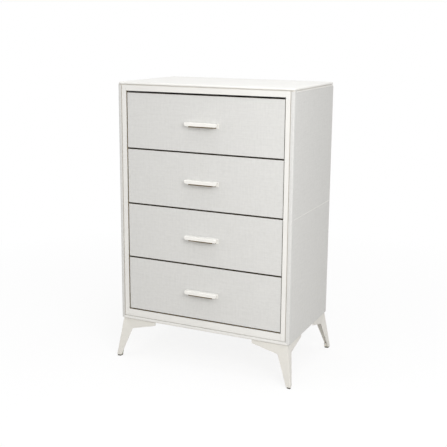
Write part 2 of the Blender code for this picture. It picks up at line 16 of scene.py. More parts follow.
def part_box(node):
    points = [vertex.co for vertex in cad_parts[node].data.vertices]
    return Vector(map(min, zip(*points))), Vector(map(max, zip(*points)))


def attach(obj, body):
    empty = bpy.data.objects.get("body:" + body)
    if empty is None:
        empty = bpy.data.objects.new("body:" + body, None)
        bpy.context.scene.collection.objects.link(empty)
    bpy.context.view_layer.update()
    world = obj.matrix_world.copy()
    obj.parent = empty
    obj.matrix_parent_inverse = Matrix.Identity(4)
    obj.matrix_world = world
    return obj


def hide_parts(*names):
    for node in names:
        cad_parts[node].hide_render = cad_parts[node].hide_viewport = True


bl_info = {
    "name": "Tall drawer chest",
    "version": (1, 0, 0),
    "blender": (4, 5, 0),
    "location": "View3D > Sidebar > Chest",
    "description": "Finishes a tall chest of four drawers and sets it in a plain studio",
    "category": "Object",
}

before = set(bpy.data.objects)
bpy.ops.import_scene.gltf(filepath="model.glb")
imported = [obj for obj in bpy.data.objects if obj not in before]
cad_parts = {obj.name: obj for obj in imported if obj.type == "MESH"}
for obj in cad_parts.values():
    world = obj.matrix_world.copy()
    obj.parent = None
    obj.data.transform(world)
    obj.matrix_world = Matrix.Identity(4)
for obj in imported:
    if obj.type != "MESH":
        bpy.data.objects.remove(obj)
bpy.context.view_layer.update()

SIDES = (("left", -1), ("right", 1))
DRAWERS = (1, 2, 3, 4)
ACROSS, DEEP, UP = 0, 1, 2

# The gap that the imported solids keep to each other, how far a cutter passes a face, and what counts as
# one point
FIT_GAP = 0.0003
OVERRUN = 0.006
WELD = 0.000005

# Steps round curved edges, from the broad ones to the smallest, and round turned pieces
BROAD_STEPS = 10
ROUND_STEPS = 7
BEND_STEPS = 6
FINE_STEPS = 3
ARRIS_STEPS = 2
CHAMFER_STEPS = 1
NAIL_STEPS = 12
HEAD_STEPS = 20
ROLLER_STEPS = 40
FLOOR_STEPS = 96

# Angles between two faces: those that shade as a crease, those whose edge is rounded, the same on cut
# sheet, and those that count as flat
CREASE_ANGLE = math.radians(34)
ARRIS_ANGLE = math.radians(55)
SHEET_ANGLE = math.radians(70)
FLAT_ANGLE = math.radians(0.05)

# How much of a face's normal lies along an axis: more than the first where the face looks along it, less
# than the second where it stands beside it
FACING_SHARE = 0.985
BESIDE_SHARE = 0.5

# Turned heads in section, as shares of their radius and their height
PAN_HEAD_SHARES = ((0, 0), (1, 0), (0.98, 0.45), (0.82, 0.82), (0.5, 0.98), (0, 1))
CAM_CAP_SHARES = ((0, 0), (1, 0), (1, 0.6), (0.94, 1), (0, 1))
NAIL_HEAD_SHARES = ((0, 0), (1, 0), (1, 0.5), (0.7, 1), (0, 1))

# Cross recesses: the arm as a share of the head's radius, half its width as a share of the arm, and its
# floor as a share of the head's height
PAN_RECESS_SHARES = (0.5, 0.22, 0.35)
CAM_RECESS_SHARES = (0.62, 0.16, 0.3)

# Where the screws sit along a runner, from its front
CABINET_SCREW_SHARES = (0.12, 0.5, 0.9)
DRAWER_SCREW_SHARES = (0.08, 0.5, 0.9)

# Where the cams sit up a box side, and from its front as a share of their width
CAM_LEVEL_SHARES = (0.35, 0.75)
CAM_FRONT_SHARE = 1.8

# Where the screws sit up a pull's back plate
PULL_SCREW_SHARE = 0.35

# Lesser edges as shares: a front's back edge of its face edge, a cut steel edge of its sheet, the shadow
# felt's edge of its thickness, a board's edge in a box of the frame's arris
BACK_EDGE_SHARE = 1 / 3
CUT_EDGE_SHARE = 0.2
SHADOW_FELT_EDGE_SHARE = 0.2
BOX_EDGE_SHARE = 0.5

# Where the floor starts to clear, as a share of the distance at which it is plain white
FLOOR_NEAR_SHARE = 1 / 3

# Each softbox: where it hangs, the point that it lights, and its width
SOFTBOXES = {
    "key": ((1.5, -1.8, 1.75), (0.1, -0.1, 0.65), 1.4),
    "top": ((0.0, -0.2, 4.4), (0.0, 0.0, 1.0), 3.0),
    "left": ((-2.6, -1.9, 1.3), (0.0, 0.0, 0.6), 2.0),
}
WHITE = (1.0, 1.0, 1.0, 1.0)


def length(label, text, default):
    return FloatProperty(name=label, description=text, default=default, min=0.0, precision=5,
                         unit="LENGTH")


def place(label, text, default):
    return FloatVectorProperty(name=label, description=text, default=default, size=3, precision=4,
                               unit="LENGTH", subtype="TRANSLATION")


def tone(label, text, default):
    return FloatVectorProperty(name=label, description=text, default=default, size=3, min=0.0,
                               max=1.0, subtype="COLOR")


def share(label, text, default):
    return FloatProperty(name=label, description=text, default=default, min=0.0, max=1.0,
                         subtype="FACTOR")


def angle(label, text, degrees):
    return FloatProperty(name=label, description=text, default=math.radians(degrees), subtype="ANGLE")


def watts(label, text, default):
    return FloatProperty(name=label, description=text, default=default, min=0.0, unit="POWER")


def millimetres(label, text, default):
    return FloatProperty(name=label, description=text, default=default, min=1.0, unit="CAMERA")


class ChestMouldings(bpy.types.PropertyGroup):
    """Rounds, beads and grooves of the case."""

    lip_thickness: length("Lip thickness", "Height of the rounded edge round the top", 0.008)
    lip_round: length("Lip round", "Rounding of the lip's upper edge", 0.0055)
    lip_under_round: length("Lip under round", "Rounding of the lip's lower edge", 0.0012)
    plan_round: length("Top corner round", "Rounding of the top's corners seen from above", 0.010)
    bead_width: length("Bead width", "Width of the half-round bead round the face frame", 0.013)
    bead_round: length("Bead round", "Radius of the bead's section", 0.006)
    bead_corner_round: length("Bead corner round", "Rounding of the bead's lower outer corners", 0.008)
    quirk_width: length("Quirk width", "Width of the shadow groove beside the bead", 0.003)
    quirk_depth: length("Quirk depth", "Depth of the shadow groove beside the bead", 0.005)
    top_quirk_depth: length("Top quirk depth", "Depth of the groove under the lip at the sides", 0.003)
    flat_setback: length("Flat setback", "How far the flat of the frame lies behind the bead", 0.001)
    lacquered_edge: length("Lacquered edge", "How far the lacquer runs round into the opening", 0.006)
    arris: length("Arris", "Rounding of the frame's and boards' sharp edges", 0.0005)
    panel_edge: length("Panel edge", "Rounding of the side panels' back edges", 0.001)
    strip_height: length("Joint strip height", "Height of the strip over the side panels' joint", 0.003)
    strip_thickness: length("Joint strip thickness", "How far the joint strip stands proud", 0.0007)
    strip_tongue: length("Joint strip tongue", "Thickness of the joint strip's tongue", 0.001)
    nail_head: length("Nail head", "Width of the back panel's nail heads", 0.006)
    nail_rise: length("Nail rise", "Height of the back panel's nail heads", 0.0004)
    nail_spacing: length("Nail spacing", "Distance between the back panel's nails", 0.120)


class ChestDrawerSizes(bpy.types.PropertyGroup):
    """Edges of the drawer boards, the pulls and the dark felt that paints their shade."""

    front_edge: length("Front edge", "Rounding of the drawer fronts' face edges", 0.0008)
    rim_round: length("Rim round", "Rounding of the drawer boxes' upper edges", 0.0016)
    pull_plate: length("Pull plate", "Thickness of the pulls' strip", 0.0025)
    pull_lip: length("Pull lip", "Height of the pulls' front lip", 0.013)
    pull_fold: length("Pull fold", "Outside radius of the pulls' folds", 0.0022)
    pull_fold_inside: length("Pull inside fold", "Inside radius of the pulls' folds", 0.0006)
    pull_corner: length("Pull lip corner", "Rounding of the pull lip's lower corners", 0.0065)
    pull_edge: length("Pull edge", "Rounding of the pulls' cut edges", 0.0006)
    # The felt strips are dark sheets put in as painted shade under each lip and in each pull's hollow.
    felt_thickness: length("Felt thickness", "Thickness of the felt in the pulls", 0.001)
    felt_end: length("Felt end", "Distance from the pulls' ends to the felt on their back plates", 0.010)
    felt_glue: length("Felt glue", "Thickness of the glue under the felt", 0.0001)
    felt_show: length("Felt show", "How far the felt behind the lip shows under it", 0.0040)
    pull_screw_spacing: length("Pull screw spacing", "Distance between a pull's two screws", 0.096)


class ChestHardware(bpy.types.PropertyGroup):
    """Runners, rollers, screws and cams."""

    runner_sheet: length("Runner sheet", "Thickness of the runners' steel", 0.0012)
    runner_fold: length("Runner fold", "Outside radius of the runners' folds", 0.0014)
    roller_diameter: length("Roller diameter", "Diameter of the rollers", 0.020)
    roller_width: length("Roller width", "Width of the rollers", 0.006)
    roller_from_end: length("Roller from end", "Roller centre from the runner's end", 0.012)
    roller_stub: length("Roller stub", "Space between a roller and its runner's web", 0.0006)
    roller_clearance: length("Roller clearance", "Space between a roller and the track", 0.0003)
    pin_diameter: length("Pin diameter", "Diameter of a roller's pin", 0.006)
    screw_head: length("Screw head", "Width of the screws' heads", 0.008)
    screw_rise: length("Screw head rise", "Height of the screws' heads", 0.0019)
    cam_width: length("Cam width", "Width of the cam caps inside the drawers", 0.015)
    cam_rise: length("Cam rise", "How far the cam caps stand proud", 0.0006)


class ChestLegSizes(bpy.types.PropertyGroup):
    """The folded sheet-steel legs and their glides."""

    sheet: length("Leg sheet", "Thickness of the legs' steel", 0.002)
    inset: length("Leg inset", "Leg corner behind the case's corner", 0.005)
    splay: length("Leg splay", "How far a leg's tip stands out each way", 0.022)
    wing_length: length("Wing length", "Length of a leg's wings along the case", 0.144)
    wing_end_height: length("Wing end height", "Height of a wing at its far end", 0.013)
    armpit_run: length("Armpit run", "Where the wing's lower edge meets the leg, along the case", 0.040)
    armpit_drop: length("Armpit drop", "Where the wing's lower edge meets the leg, downwards", 0.039)
    tip_width: length("Tip width", "Width of a leg's flange at its tip", 0.019)
    fold_round: length("Leg fold round", "Outside radius of the legs' folds", 0.003)
    cut_edge: length("Leg cut edge", "Rounding of the sheet's cut edges", 0.0004)
    plate_width: length("Screw plate width", "Width of the plate under the case", 0.026)
    screw_hole: length("Screw hole", "Width of the holes in the screw plate", 0.0055)
    screw_far: length("Far screw", "Distance of a wing's far screw from the corner", 0.115)
    glide_below: length("Glide below", "How far a glide stands below its leg", 0.006)
    glide_inside: length("Glide inside", "How far a glide reaches into its leg", 0.014)
    glide_width: length("Glide width", "Width of a glide along the flange", 0.0145)
    glide_edge: length("Glide edge", "Rounding of the glides' edges", 0.0012)


class ChestFinishes(bpy.types.PropertyGroup):
    """Colours of the finishes, in linear values."""

    lacquer: tone("Lacquer", "White satin lacquer of the top and the frame", (0.840, 0.832, 0.805))
    # Groove tone: the lacquer darkened as painted shade for the grooves and the groove under the lip.
    groove: tone("Groove", "Yellowed lacquer in the grooves", (0.750, 0.725, 0.672))
    linen: tone("Linen foil", "Pale grey woven foil of the fronts and the sides", (0.709, 0.708, 0.693))
    linen_thread: tone("Linen thread", "Darker threads of the foil", (0.655, 0.653, 0.637))
    # Edge band: a brown board edge made near black, as painted shade in the gaps between the fronts.
    edge_band: tone("Edge band", "Brown edges of the drawer fronts", (0.070, 0.056, 0.032))
    raw_board: tone("Raw board", "Brown board behind the opening's lacquered edge", (0.270, 0.192, 0.088))
    powder: tone("Powder coat", "White powder coat of the legs", (0.785, 0.768, 0.720))
    pull: tone("Pull coat", "White coat of the pulls", (0.900, 0.888, 0.852))
    # Felt: dark brown for the strips that paint the pulls' shade.
    felt: tone("Felt", "Brown felt that lines the pulls", (0.135, 0.092, 0.036))
    board: tone("Board foil", "White foil of the inner boards", (0.800, 0.790, 0.760))
    hardboard: tone("Hardboard", "White face of the thin panels", (0.760, 0.745, 0.705))
    hardboard_fleck: tone("Hardboard fleck", "Fibres that show through the white", (0.640, 0.590, 0.510))
    runner: tone("Runner coat", "Pale epoxy coat of the runners", (0.760, 0.760, 0.745))
    nylon: tone("Roller nylon", "Off-white nylon of the rollers and foot plugs", (0.720, 0.700, 0.640))
    zinc: tone("Zinc", "Bright zinc of the screws and cams", (0.720, 0.715, 0.690))
    glide: tone("Glide", "Dark plastic of the glides", (0.070, 0.061, 0.046))


class ChestStudio(bpy.types.PropertyGroup):
    """Camera, lamps and floor."""

    camera_place: place("Camera place", "Where the camera stands", (1.3459, -2.9170, 1.2892))
    camera_turn: angle("Camera turn", "How far the camera turns left of the chest's depth", 24.975)
    camera_dip: angle("Camera dip", "How far the camera looks down", 11.806)
    camera_roll: angle("Camera roll", "How far the camera leans to its left", 0.434)
    lens: millimetres("Lens", "Focal length", 67.02)
    sensor: millimetres("Sensor", "Sensor width", 36.0)
    shift: FloatProperty(name="Vertical shift", description="Lens shift as a share of the picture's side",
                         default=-0.045)
    ambient: share("Ambient", "Strength of the white light from all round", 0.475)
    key_power: watts("Key power", "Power of the softbox at the front right", 34.0)
    top_power: watts("Top power", "Power of the softbox overhead", 57.0)
    left_power: watts("Left power", "Power of the softbox at the left", 8.5)
    floor_radius: length("Floor radius", "Radius of the floor", 25.0)
    floor_drop: length("Floor drop", "Gap between the glides and the floor", 0.0002)
    floor_clear: length("Floor clear", "How far from the chest the floor is plain white", 2.2)
    floor_shadow: share("Floor shadow", "How much of the floor's look is its shading", 0.15)
    floor_bounce: tone("Floor bounce", "Light that the floor throws back", (0.740, 0.720, 0.690))


GROUPS = {
    "chest_mouldings": ChestMouldings,
    "chest_drawers": ChestDrawerSizes,
    "chest_hardware": ChestHardware,
    "chest_legs": ChestLegSizes,
    "chest_finishes": ChestFinishes,
    "chest_studio": ChestStudio,
}


def block(low, high):
    """A box between two opposite corners."""
    low, high = Vector(low), Vector(high)
    bm = bmesh.new()
    bmesh.ops.create_cube(bm, size=1.0)
    bmesh.ops.scale(bm, vec=high - low, verts=bm.verts)
    bmesh.ops.translate(bm, vec=(low + high) / 2, verts=bm.verts)
    return bm


def push_faces(bm, faces, push):
    """Extrudes faces along a direction, and leaves the old ones in place."""
    pushed = bmesh.ops.extrude_face_region(bm, geom=faces)
    ends = [item for item in pushed["geom"] if isinstance(item, bmesh.types.BMVert)]
    bmesh.ops.translate(bm, vec=push, verts=ends)


def prism(outline, push):
    """A flat outline of points, pushed along a direction."""
    bm = bmesh.new()
    push_faces(bm, [bm.faces.new([bm.verts.new(point) for point in outline])], push)
    bmesh.ops.recalc_face_normals(bm, faces=bm.faces)
    return bm


def bar(section, axis, start, end):
    """A section square to an axis, pushed from one level of that axis to another."""
    outline = [(*point[:axis], start, *point[axis:]) for point in section]
    push = Vector()
    push[axis] = end - start
    return prism(outline, push)


def turned(profile, steps):
    """A solid turned about Z. Its profile of (radius, height) points is closed or ends on the axis."""
    bm = bmesh.new()
    verts = [bm.verts.new((radius, 0, height)) for radius, height in profile]
    edges = [bm.edges.new(pair) for pair in zip(verts, verts[1:])]
    bmesh.ops.spin(bm, geom=verts + edges, cent=(0, 0, 0), axis=(0, 0, 1), angle=math.tau,
                   steps=steps, use_merge=True)
    bmesh.ops.remove_doubles(bm, verts=bm.verts, dist=WELD)
    bmesh.ops.recalc_face_normals(bm, faces=bm.faces)
    return bm


def turned_head(radius, rise, shares, steps=HEAD_STEPS):
    """A head that stands on the XY plane and looks along +Z."""
    return turned([(radius * across, rise * up) for across, up in shares], steps)


def recessed_head(radius, rise, shares, recess_shares):
    """The same with a cross recess."""
    arm_share, width_share, floor_share = recess_shares
    arm = radius * arm_share
    half_width = arm * width_share
    head = turned_head(radius, rise, shares)
    for reach, width in ((arm, half_width), (half_width, arm)):
        slot = block((-reach, -width, rise * floor_share), (reach, width, rise * 2))
        head = carved(head, slot)
    return head


def edges_along(bm, axis):
    """The straight edges that run along one axis."""
    found = []
    for edge in bm.edges:
        span = edge.verts[0].co - edge.verts[1].co
        if abs(span[axis]) > span.length - FIT_GAP / 2:
            found.append(edge)
    return found


def edges_at(edges, **levels):
    """Those edges that lie on the planes given as x, y or z."""
    return [edge for edge in edges
            if all(abs(getattr(vert.co, axis) - level) < FIT_GAP / 2
                   for axis, level in levels.items() for vert in edge.verts)]


def sharp_edges(bm, limit=ARRIS_ANGLE):
    return [edge for edge in bm.edges if len(edge.link_faces) == 2 and edge.calc_face_angle() > limit]


def round_edges(bm, edges, radius, steps):
    bmesh.ops.bevel(bm, geom=list(edges), offset=radius, segments=steps, profile=0.5, affect="EDGES",
                    clamp_overlap=True, material=-1)


def score(bm, axis, level):
    """Cuts the faces where they cross a level of an axis, and keeps both sides."""
    plane = Vector()
    plane[axis] = 1.0
    bmesh.ops.bisect_plane(bm, geom=bm.verts[:] + bm.edges[:] + bm.faces[:], plane_no=plane,
                           plane_co=plane * level)


def mesh_of(name, bm):
    """A mesh from a bmesh that isn't needed again."""
    mesh = bpy.data.meshes.new(name)
    bm.to_mesh(mesh)
    bm.free()
    return mesh


def new_object(name, data):
    """An object that is in the scene."""
    made = bpy.data.objects.new(name, data)
    bpy.context.scene.collection.objects.link(made)
    return made


def discard(blank):
    """Takes an object and its mesh away."""
    mesh = blank.data
    bpy.data.objects.remove(blank)
    bpy.data.meshes.remove(mesh)


def shaped(bm, kind, **settings):
    """The bmesh after one modifier."""
    blank = new_object("blank", mesh_of("blank", bm))
    modifier = blank.modifiers.new(kind, kind)
    for name, value in settings.items():
        setattr(modifier, name, value)
    result = bmesh.new()
    result.from_object(blank, bpy.context.evaluated_depsgraph_get())
    discard(blank)
    return result


def carved(bm, tool, operation="DIFFERENCE"):
    """The bmesh cut by, joined with or kept within another one."""
    cutter = new_object("tool", mesh_of("tool", tool))
    result = shaped(bm, "BOOLEAN", operation=operation, object=cutter, solver="MANIFOLD")
    discard(cutter)
    check_closed(result, "a carved piece")
    bmesh.ops.dissolve_limit(result, angle_limit=FLAT_ANGLE, verts=result.verts, edges=result.edges)
    return result


def check_closed(bm, name):
    """Stops the script where a solid has an open or a doubled edge."""
    if not bm.faces or any(len(edge.link_faces) != 2 for edge in bm.edges):
        raise RuntimeError(name + " isn't a closed solid")


def gathered(parts, side=1):
    """Several bmeshes as one. With side -1, left and right are swapped."""
    whole = bmesh.new()
    mesh = bpy.data.meshes.new("gather")
    for part in parts:
        part.to_mesh(mesh)
        part.free()
        whole.from_mesh(mesh)
    bpy.data.meshes.remove(mesh)
    if side < 0:
        bmesh.ops.scale(whole, vec=(-1, 1, 1), verts=whole.verts)
        bmesh.ops.reverse_faces(whole, faces=whole.faces)
    return whole


def moved(bm, matrix):
    """The bmesh itself, moved and turned."""
    bmesh.ops.transform(bm, matrix=matrix, verts=bm.verts)
    return bm


def stand(spot, direction):
    """The matrix that puts a piece on a spot and brings its +Z to a direction."""
    return Matrix.Translation(spot) @ Vector(direction).to_track_quat("Z", "Y").to_matrix().to_4x4()


def repeated(bm, spots):
    """Copies of a bmesh at (spot, direction) pairs, as one. The bmesh isn't needed again."""
    copies = [moved(bm.copy(), stand(*spot)) for spot in spots]
    bm.free()
    return gathered(copies)


def screws(sizes, spots):
    """Screw heads at (spot, direction) pairs, as one bmesh."""
    head = recessed_head(sizes.screw_head / 2, sizes.screw_rise, PAN_HEAD_SHARES, PAN_RECESS_SHARES)
    return repeated(head, spots)


def tint(colour, factor=1.0):
    """A colour times a factor, as a socket takes it."""
    return (*(channel * factor for channel in colour), 1.0)


class Shading:
    """A shader tree, and the kinds of node that it gets."""

    def __init__(self, tree):
        self.tree = tree

    def feed(self, node, **inputs):
        """Feeds a node's inputs by name, with _ for a space."""
        for name, value in inputs.items():
            self.feed_socket(node.inputs[name.replace("_", " ")], value)

    def feed_socket(self, socket, value):
        """Gives an input another node's output, or a value of its own."""
        if isinstance(value, bpy.types.NodeSocket):
            self.tree.links.new(value, socket)
        else:
            socket.default_value = value

    def node(self, kind, **inputs):
        """Adds a node and feeds its inputs."""
        node = self.tree.nodes.new(kind)
        self.feed(node, **inputs)
        return node

    def maths(self, operation, first, second=0.0):
        node = self.tree.nodes.new("ShaderNodeMath")
        node.operation = operation
        for socket, value in zip(node.inputs, (first, second)):
            self.feed_socket(socket, value)
        return node.outputs[0]

    def average(self, first, second):
        return self.maths("MULTIPLY", self.maths("ADD", first, second), 0.5)

    def weighed(self, *parts):
        """The sum of (output, weight) pairs."""
        total, *others = [self.maths("MULTIPLY", output, weight) for output, weight in parts]
        for other in others:
            total = self.maths("ADD", total, other)
        return total

    def spread(self, value, low, high, to_low=0.0, to_high=1.0):
        """Stretches a value's range, held at its ends."""
        node = self.node("ShaderNodeMapRange", Value=value, From_Min=low, From_Max=high,
                         To_Min=to_low, To_Max=to_high)
        return node.outputs["Result"]

    def blend(self, amount, first, second):
        """A colour between two, by an amount."""
        node = self.tree.nodes.new("ShaderNodeMix")
        node.data_type = "RGBA"
        colours = [socket for socket in node.inputs if socket.type == "RGBA"]
        for socket, value in zip(colours, (first, second)):
            self.feed_socket(socket, value)
        self.feed(node, Factor=amount)
        return next(socket for socket in node.outputs if socket.type == "RGBA")

    def mixed(self, amount, first, second):
        """A shader between two shader nodes, by an amount."""
        node = self.tree.nodes.new("ShaderNodeMixShader")
        for socket, value in zip(node.inputs, (amount, first.outputs[0], second.outputs[0])):
            self.feed_socket(socket, value)
        return node

    def shown_rays(self):
        """1 for the rays that show a background: the camera's, and those off or through shiny surfaces."""
        rays = self.tree.nodes.new("ShaderNodeLightPath").outputs
        direct = self.maths("MAXIMUM", rays["Is Camera Ray"], rays["Is Glossy Ray"])
        return self.maths("MAXIMUM", direct, rays["Is Transmission Ray"])


class Finish(Shading):
    """A material while it is made: its shader, and the coordinates that its grains follow."""

    def __init__(self, name):
        self.material = bpy.data.materials.new(name)
        self.material.use_nodes = True
        super().__init__(self.material.node_tree)
        self.shader = self.tree.nodes["Principled BSDF"]
        self.where = self.tree.nodes.new("ShaderNodeTexCoord").outputs["Object"]

    def set(self, **inputs):
        """Feeds the shader."""
        self.feed(self.shader, **inputs)

    def grain(self, size, detail, roughness=0.5):
        """Noise in grains of one size, or of a given length, width and height."""
        sides = size if isinstance(size, tuple) else (size, size, size)
        mapping = self.node("ShaderNodeMapping", Vector=self.where, Scale=[1.0 / side for side in sides])
        noise = self.node("ShaderNodeTexNoise", Vector=mapping.outputs["Vector"], Scale=1.0,
                          Detail=detail, Roughness=roughness)
        return noise.outputs["Fac"]

    def cloud(self, colour, shades, size, detail, roughness=0.5, span=(0.35, 0.65)):
        """Drifts the base colour between two shades of a colour. Returns the noise and the drift.

        The span is the part of the noise's range that the drift takes up, or None for the noise itself.
        """
        noise = self.grain(size, detail, roughness)
        drift = self.spread(noise, *span) if span else noise
        self.set(Base_Color=self.blend(drift, *[tint(colour, shade) for shade in shades]))
        return noise, drift

    def relief(self, height, depth):
        """Bump of a real depth in metres."""
        bump = self.node("ShaderNodeBump", Height=height, Strength=1.0, Distance=depth)
        self.set(Normal=bump.outputs["Normal"])


def sprayed(finish, colour):
    """Sprayed satin lacquer: a slightly uneven tone and gloss, and a faint roll in the surface."""
    finish.set(Roughness=0.42, Specular_IOR_Level=0.3)
    finish.cloud(colour, (0.985, 1.01), size=0.09, detail=3.0)
    dull = finish.grain(size=0.02, detail=3.0)
    finish.set(Roughness=finish.spread(dull, 0.3, 0.7, to_low=0.37, to_high=0.47))
    finish.relief(finish.grain(size=0.0022, detail=1.0), depth=0.00002)


def satin_lacquer(finish, colours):
    """The white of the top, the frame and the joint strips."""
    sprayed(finish, colours.lacquer)


def groove_lacquer(finish, colours):
    """The same lacquer made darker, as painted shade in the grooves and under the lip."""
    sprayed(finish, colours.groove)


def woven_foil(finish, colours):
    """Foil with a pressed linen weave: crossing threads with slubs, and a matt face.

    The cloth is one sheet that turns the corners, so its width is the sum of x and y.
    """
    finish.set(Roughness=0.62, Specular_IOR_Level=0.4)
    thread, thread_run = 0.0011, 0.018
    slub, slub_run = 0.0035, 0.075
    patch = 0.012
    split = finish.node("ShaderNodeSeparateXYZ", Vector=finish.where).outputs
    across, up = finish.maths("ADD", split["X"], split["Y"]), split["Z"]
    finish.where = finish.node("ShaderNodeCombineXYZ", X=across, Z=up).outputs["Vector"]
    waves = [finish.maths("SINE", finish.maths("MULTIPLY", way, math.tau / thread)) for way in (across, up)]
    weave = finish.maths("MULTIPLY", *waves)
    threads = [finish.grain(size, detail=2.0)
               for size in ((thread, 1.0, thread_run), (thread_run, 1.0, thread))]
    slubs = [finish.spread(finish.grain(size, detail=3.0), 0.42, 0.72)
             for size in ((slub, 1.0, slub_run), (slub_run, 1.0, slub))]
    patches = finish.spread(finish.grain((patch, 1.0, patch), detail=2.0), 0.35, 0.65)
    mottle = finish.weighed((finish.average(*threads), 0.34), (finish.average(*slubs), 0.46),
                            (patches, 0.20))
    finish.set(Base_Color=finish.blend(finish.spread(mottle, 0.2, 0.75), tint(colours.linen, 1.02),
                                       tint(colours.linen_thread)))
    finish.relief(finish.weighed((weave, 0.35), (mottle, -1.2)), depth=0.00007)


def powder_coat(finish, colours):
    """Powder coat with a fine orange-peel surface."""
    finish.set(Roughness=0.42)
    finish.cloud(colours.powder, (0.98, 1.01), size=0.05, detail=3.0)
    finish.relief(finish.grain(size=0.0009, detail=2.0), depth=0.00004)


def pull_coat(finish, colours):
    """A smooth baked coat on the pulls."""
    finish.set(Roughness=0.30)
    finish.cloud(colours.pull, (0.985, 1.005), size=0.03, detail=2.0)
    finish.relief(finish.grain(size=0.0014, detail=1.0), depth=0.000015)


def brown_felt(finish, colours):
    """Short-haired dark felt, put in the pulls as painted shade."""
    finish.set(Roughness=0.95, Specular_IOR_Level=0.05)
    hair = finish.cloud(colours.felt, (0.7, 1.3), size=0.0006, detail=4.0, span=None)[0]
    finish.relief(hair, depth=0.0001)


def board_foil(finish, colours):
    """Matt white foil on the inner boards, with a faint level grain."""
    finish.set(Roughness=0.55, Specular_IOR_Level=0.4)
    grain = finish.cloud(colours.board, (0.97, 1.01), size=(0.03, 0.05, 0.0015), detail=4.0,
                         roughness=0.6, span=(0.3, 0.7))[0]
    finish.relief(grain, depth=0.00003)


def fibrous(finish, colour):
    """Fibre board cut across, with its fine chips."""
    finish.set(Roughness=0.9, Specular_IOR_Level=0.05)
    fibre = finish.cloud(colour, (1.0, 1.5), size=0.0012, detail=4.0, span=(0.35, 0.7))[0]
    finish.relief(fibre, depth=0.00003)


def edge_band(finish, colours):
    """Dark brown edges of the drawer fronts, darkened past their board's brown as painted shade in the
    gaps.
    """
    fibrous(finish, colours.edge_band)


def raw_board(finish, colours):
    """Unsealed edges deep in the opening."""
    fibrous(finish, colours.raw_board)


def fibre_panel(finish, colours):
    """Thin fibre board with a white face through which a few fibres show."""
    finish.set(Roughness=0.6, Specular_IOR_Level=0.35)
    fibre = finish.spread(finish.grain(size=0.004, detail=6.0, roughness=0.7), 0.60, 0.72)
    drift = finish.spread(finish.grain(size=0.15, detail=2.0), 0.35, 0.65)
    ground = finish.blend(drift, tint(colours.hardboard, 0.97), tint(colours.hardboard))
    flecks = finish.maths("MULTIPLY", fibre, 0.5)
    finish.set(Base_Color=finish.blend(flecks, ground, tint(colours.hardboard_fleck)))
    finish.relief(finish.grain(size=0.0016, detail=3.0), depth=0.00005)


def runner_coat(finish, colours):
    """Epoxy coat on rolled steel, drawn out along the runners."""
    finish.set(Roughness=0.35)
    finish.cloud(colours.runner, (0.97, 1.0), size=(0.002, 0.09, 0.002), detail=3.0, span=(0.3, 0.7))
    finish.relief(finish.grain(size=0.0012, detail=1.0), depth=0.00003)


def roller_nylon(finish, colours):
    """Moulded nylon with a slightly uneven tone."""
    finish.set(Roughness=0.45, Subsurface_Weight=0.1, Subsurface_Scale=0.002)
    finish.cloud(colours.nylon, (0.95, 1.0), size=0.006, detail=3.0)
    finish.relief(finish.grain(size=0.0008, detail=2.0), depth=0.00002)


def bright_zinc(finish, colours):
    """Zinc plate on screws, nails, pins and cams, duller in patches."""
    finish.set(Roughness=0.35, Metallic=1.0)
    drift = finish.cloud(colours.zinc, (0.86, 1.0), size=0.003, detail=4.0, span=(0.3, 0.7))[1]
    finish.set(Roughness=finish.spread(drift, 0.0, 1.0, to_low=0.30, to_high=0.44))


def foot_plastic(finish, colours):
    """Dark moulded plastic with a fine spark-eroded face."""
    finish.set(Roughness=0.55)
    finish.cloud(colours.glide, (1.0, 1.7), size=0.004, detail=4.0, span=(0.4, 0.7))
    finish.relief(finish.grain(size=0.0005, detail=2.0), depth=0.00004)


def material_of(finish):
    """A finish's material, which has its function's name and is made when it is first asked for."""
    name = finish.__name__
    made = bpy.data.materials.get(name)
    if made is None:
        started = Finish(name)
        finish(started, bpy.context.scene.chest_finishes)
        made = started.material
    return made


def finish_piece(name, bm, body, node, *finishes):
    """Makes a finished piece on a body. The node is the one that it stands for, or None."""
    check_closed(bm, name)
    mesh = mesh_of(name, bm)
    for finish in finishes:
        mesh.materials.append(material_of(finish))
    mesh.shade_smooth()
    mesh.set_sharp_from_angle(angle=CREASE_ANGLE)
    piece = new_object(name, mesh)
    flats = piece.modifiers.new("even_flats", "WEIGHTED_NORMAL")
    flats.keep_sharp = True
    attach(piece, body)
    if node:
        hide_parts(node)


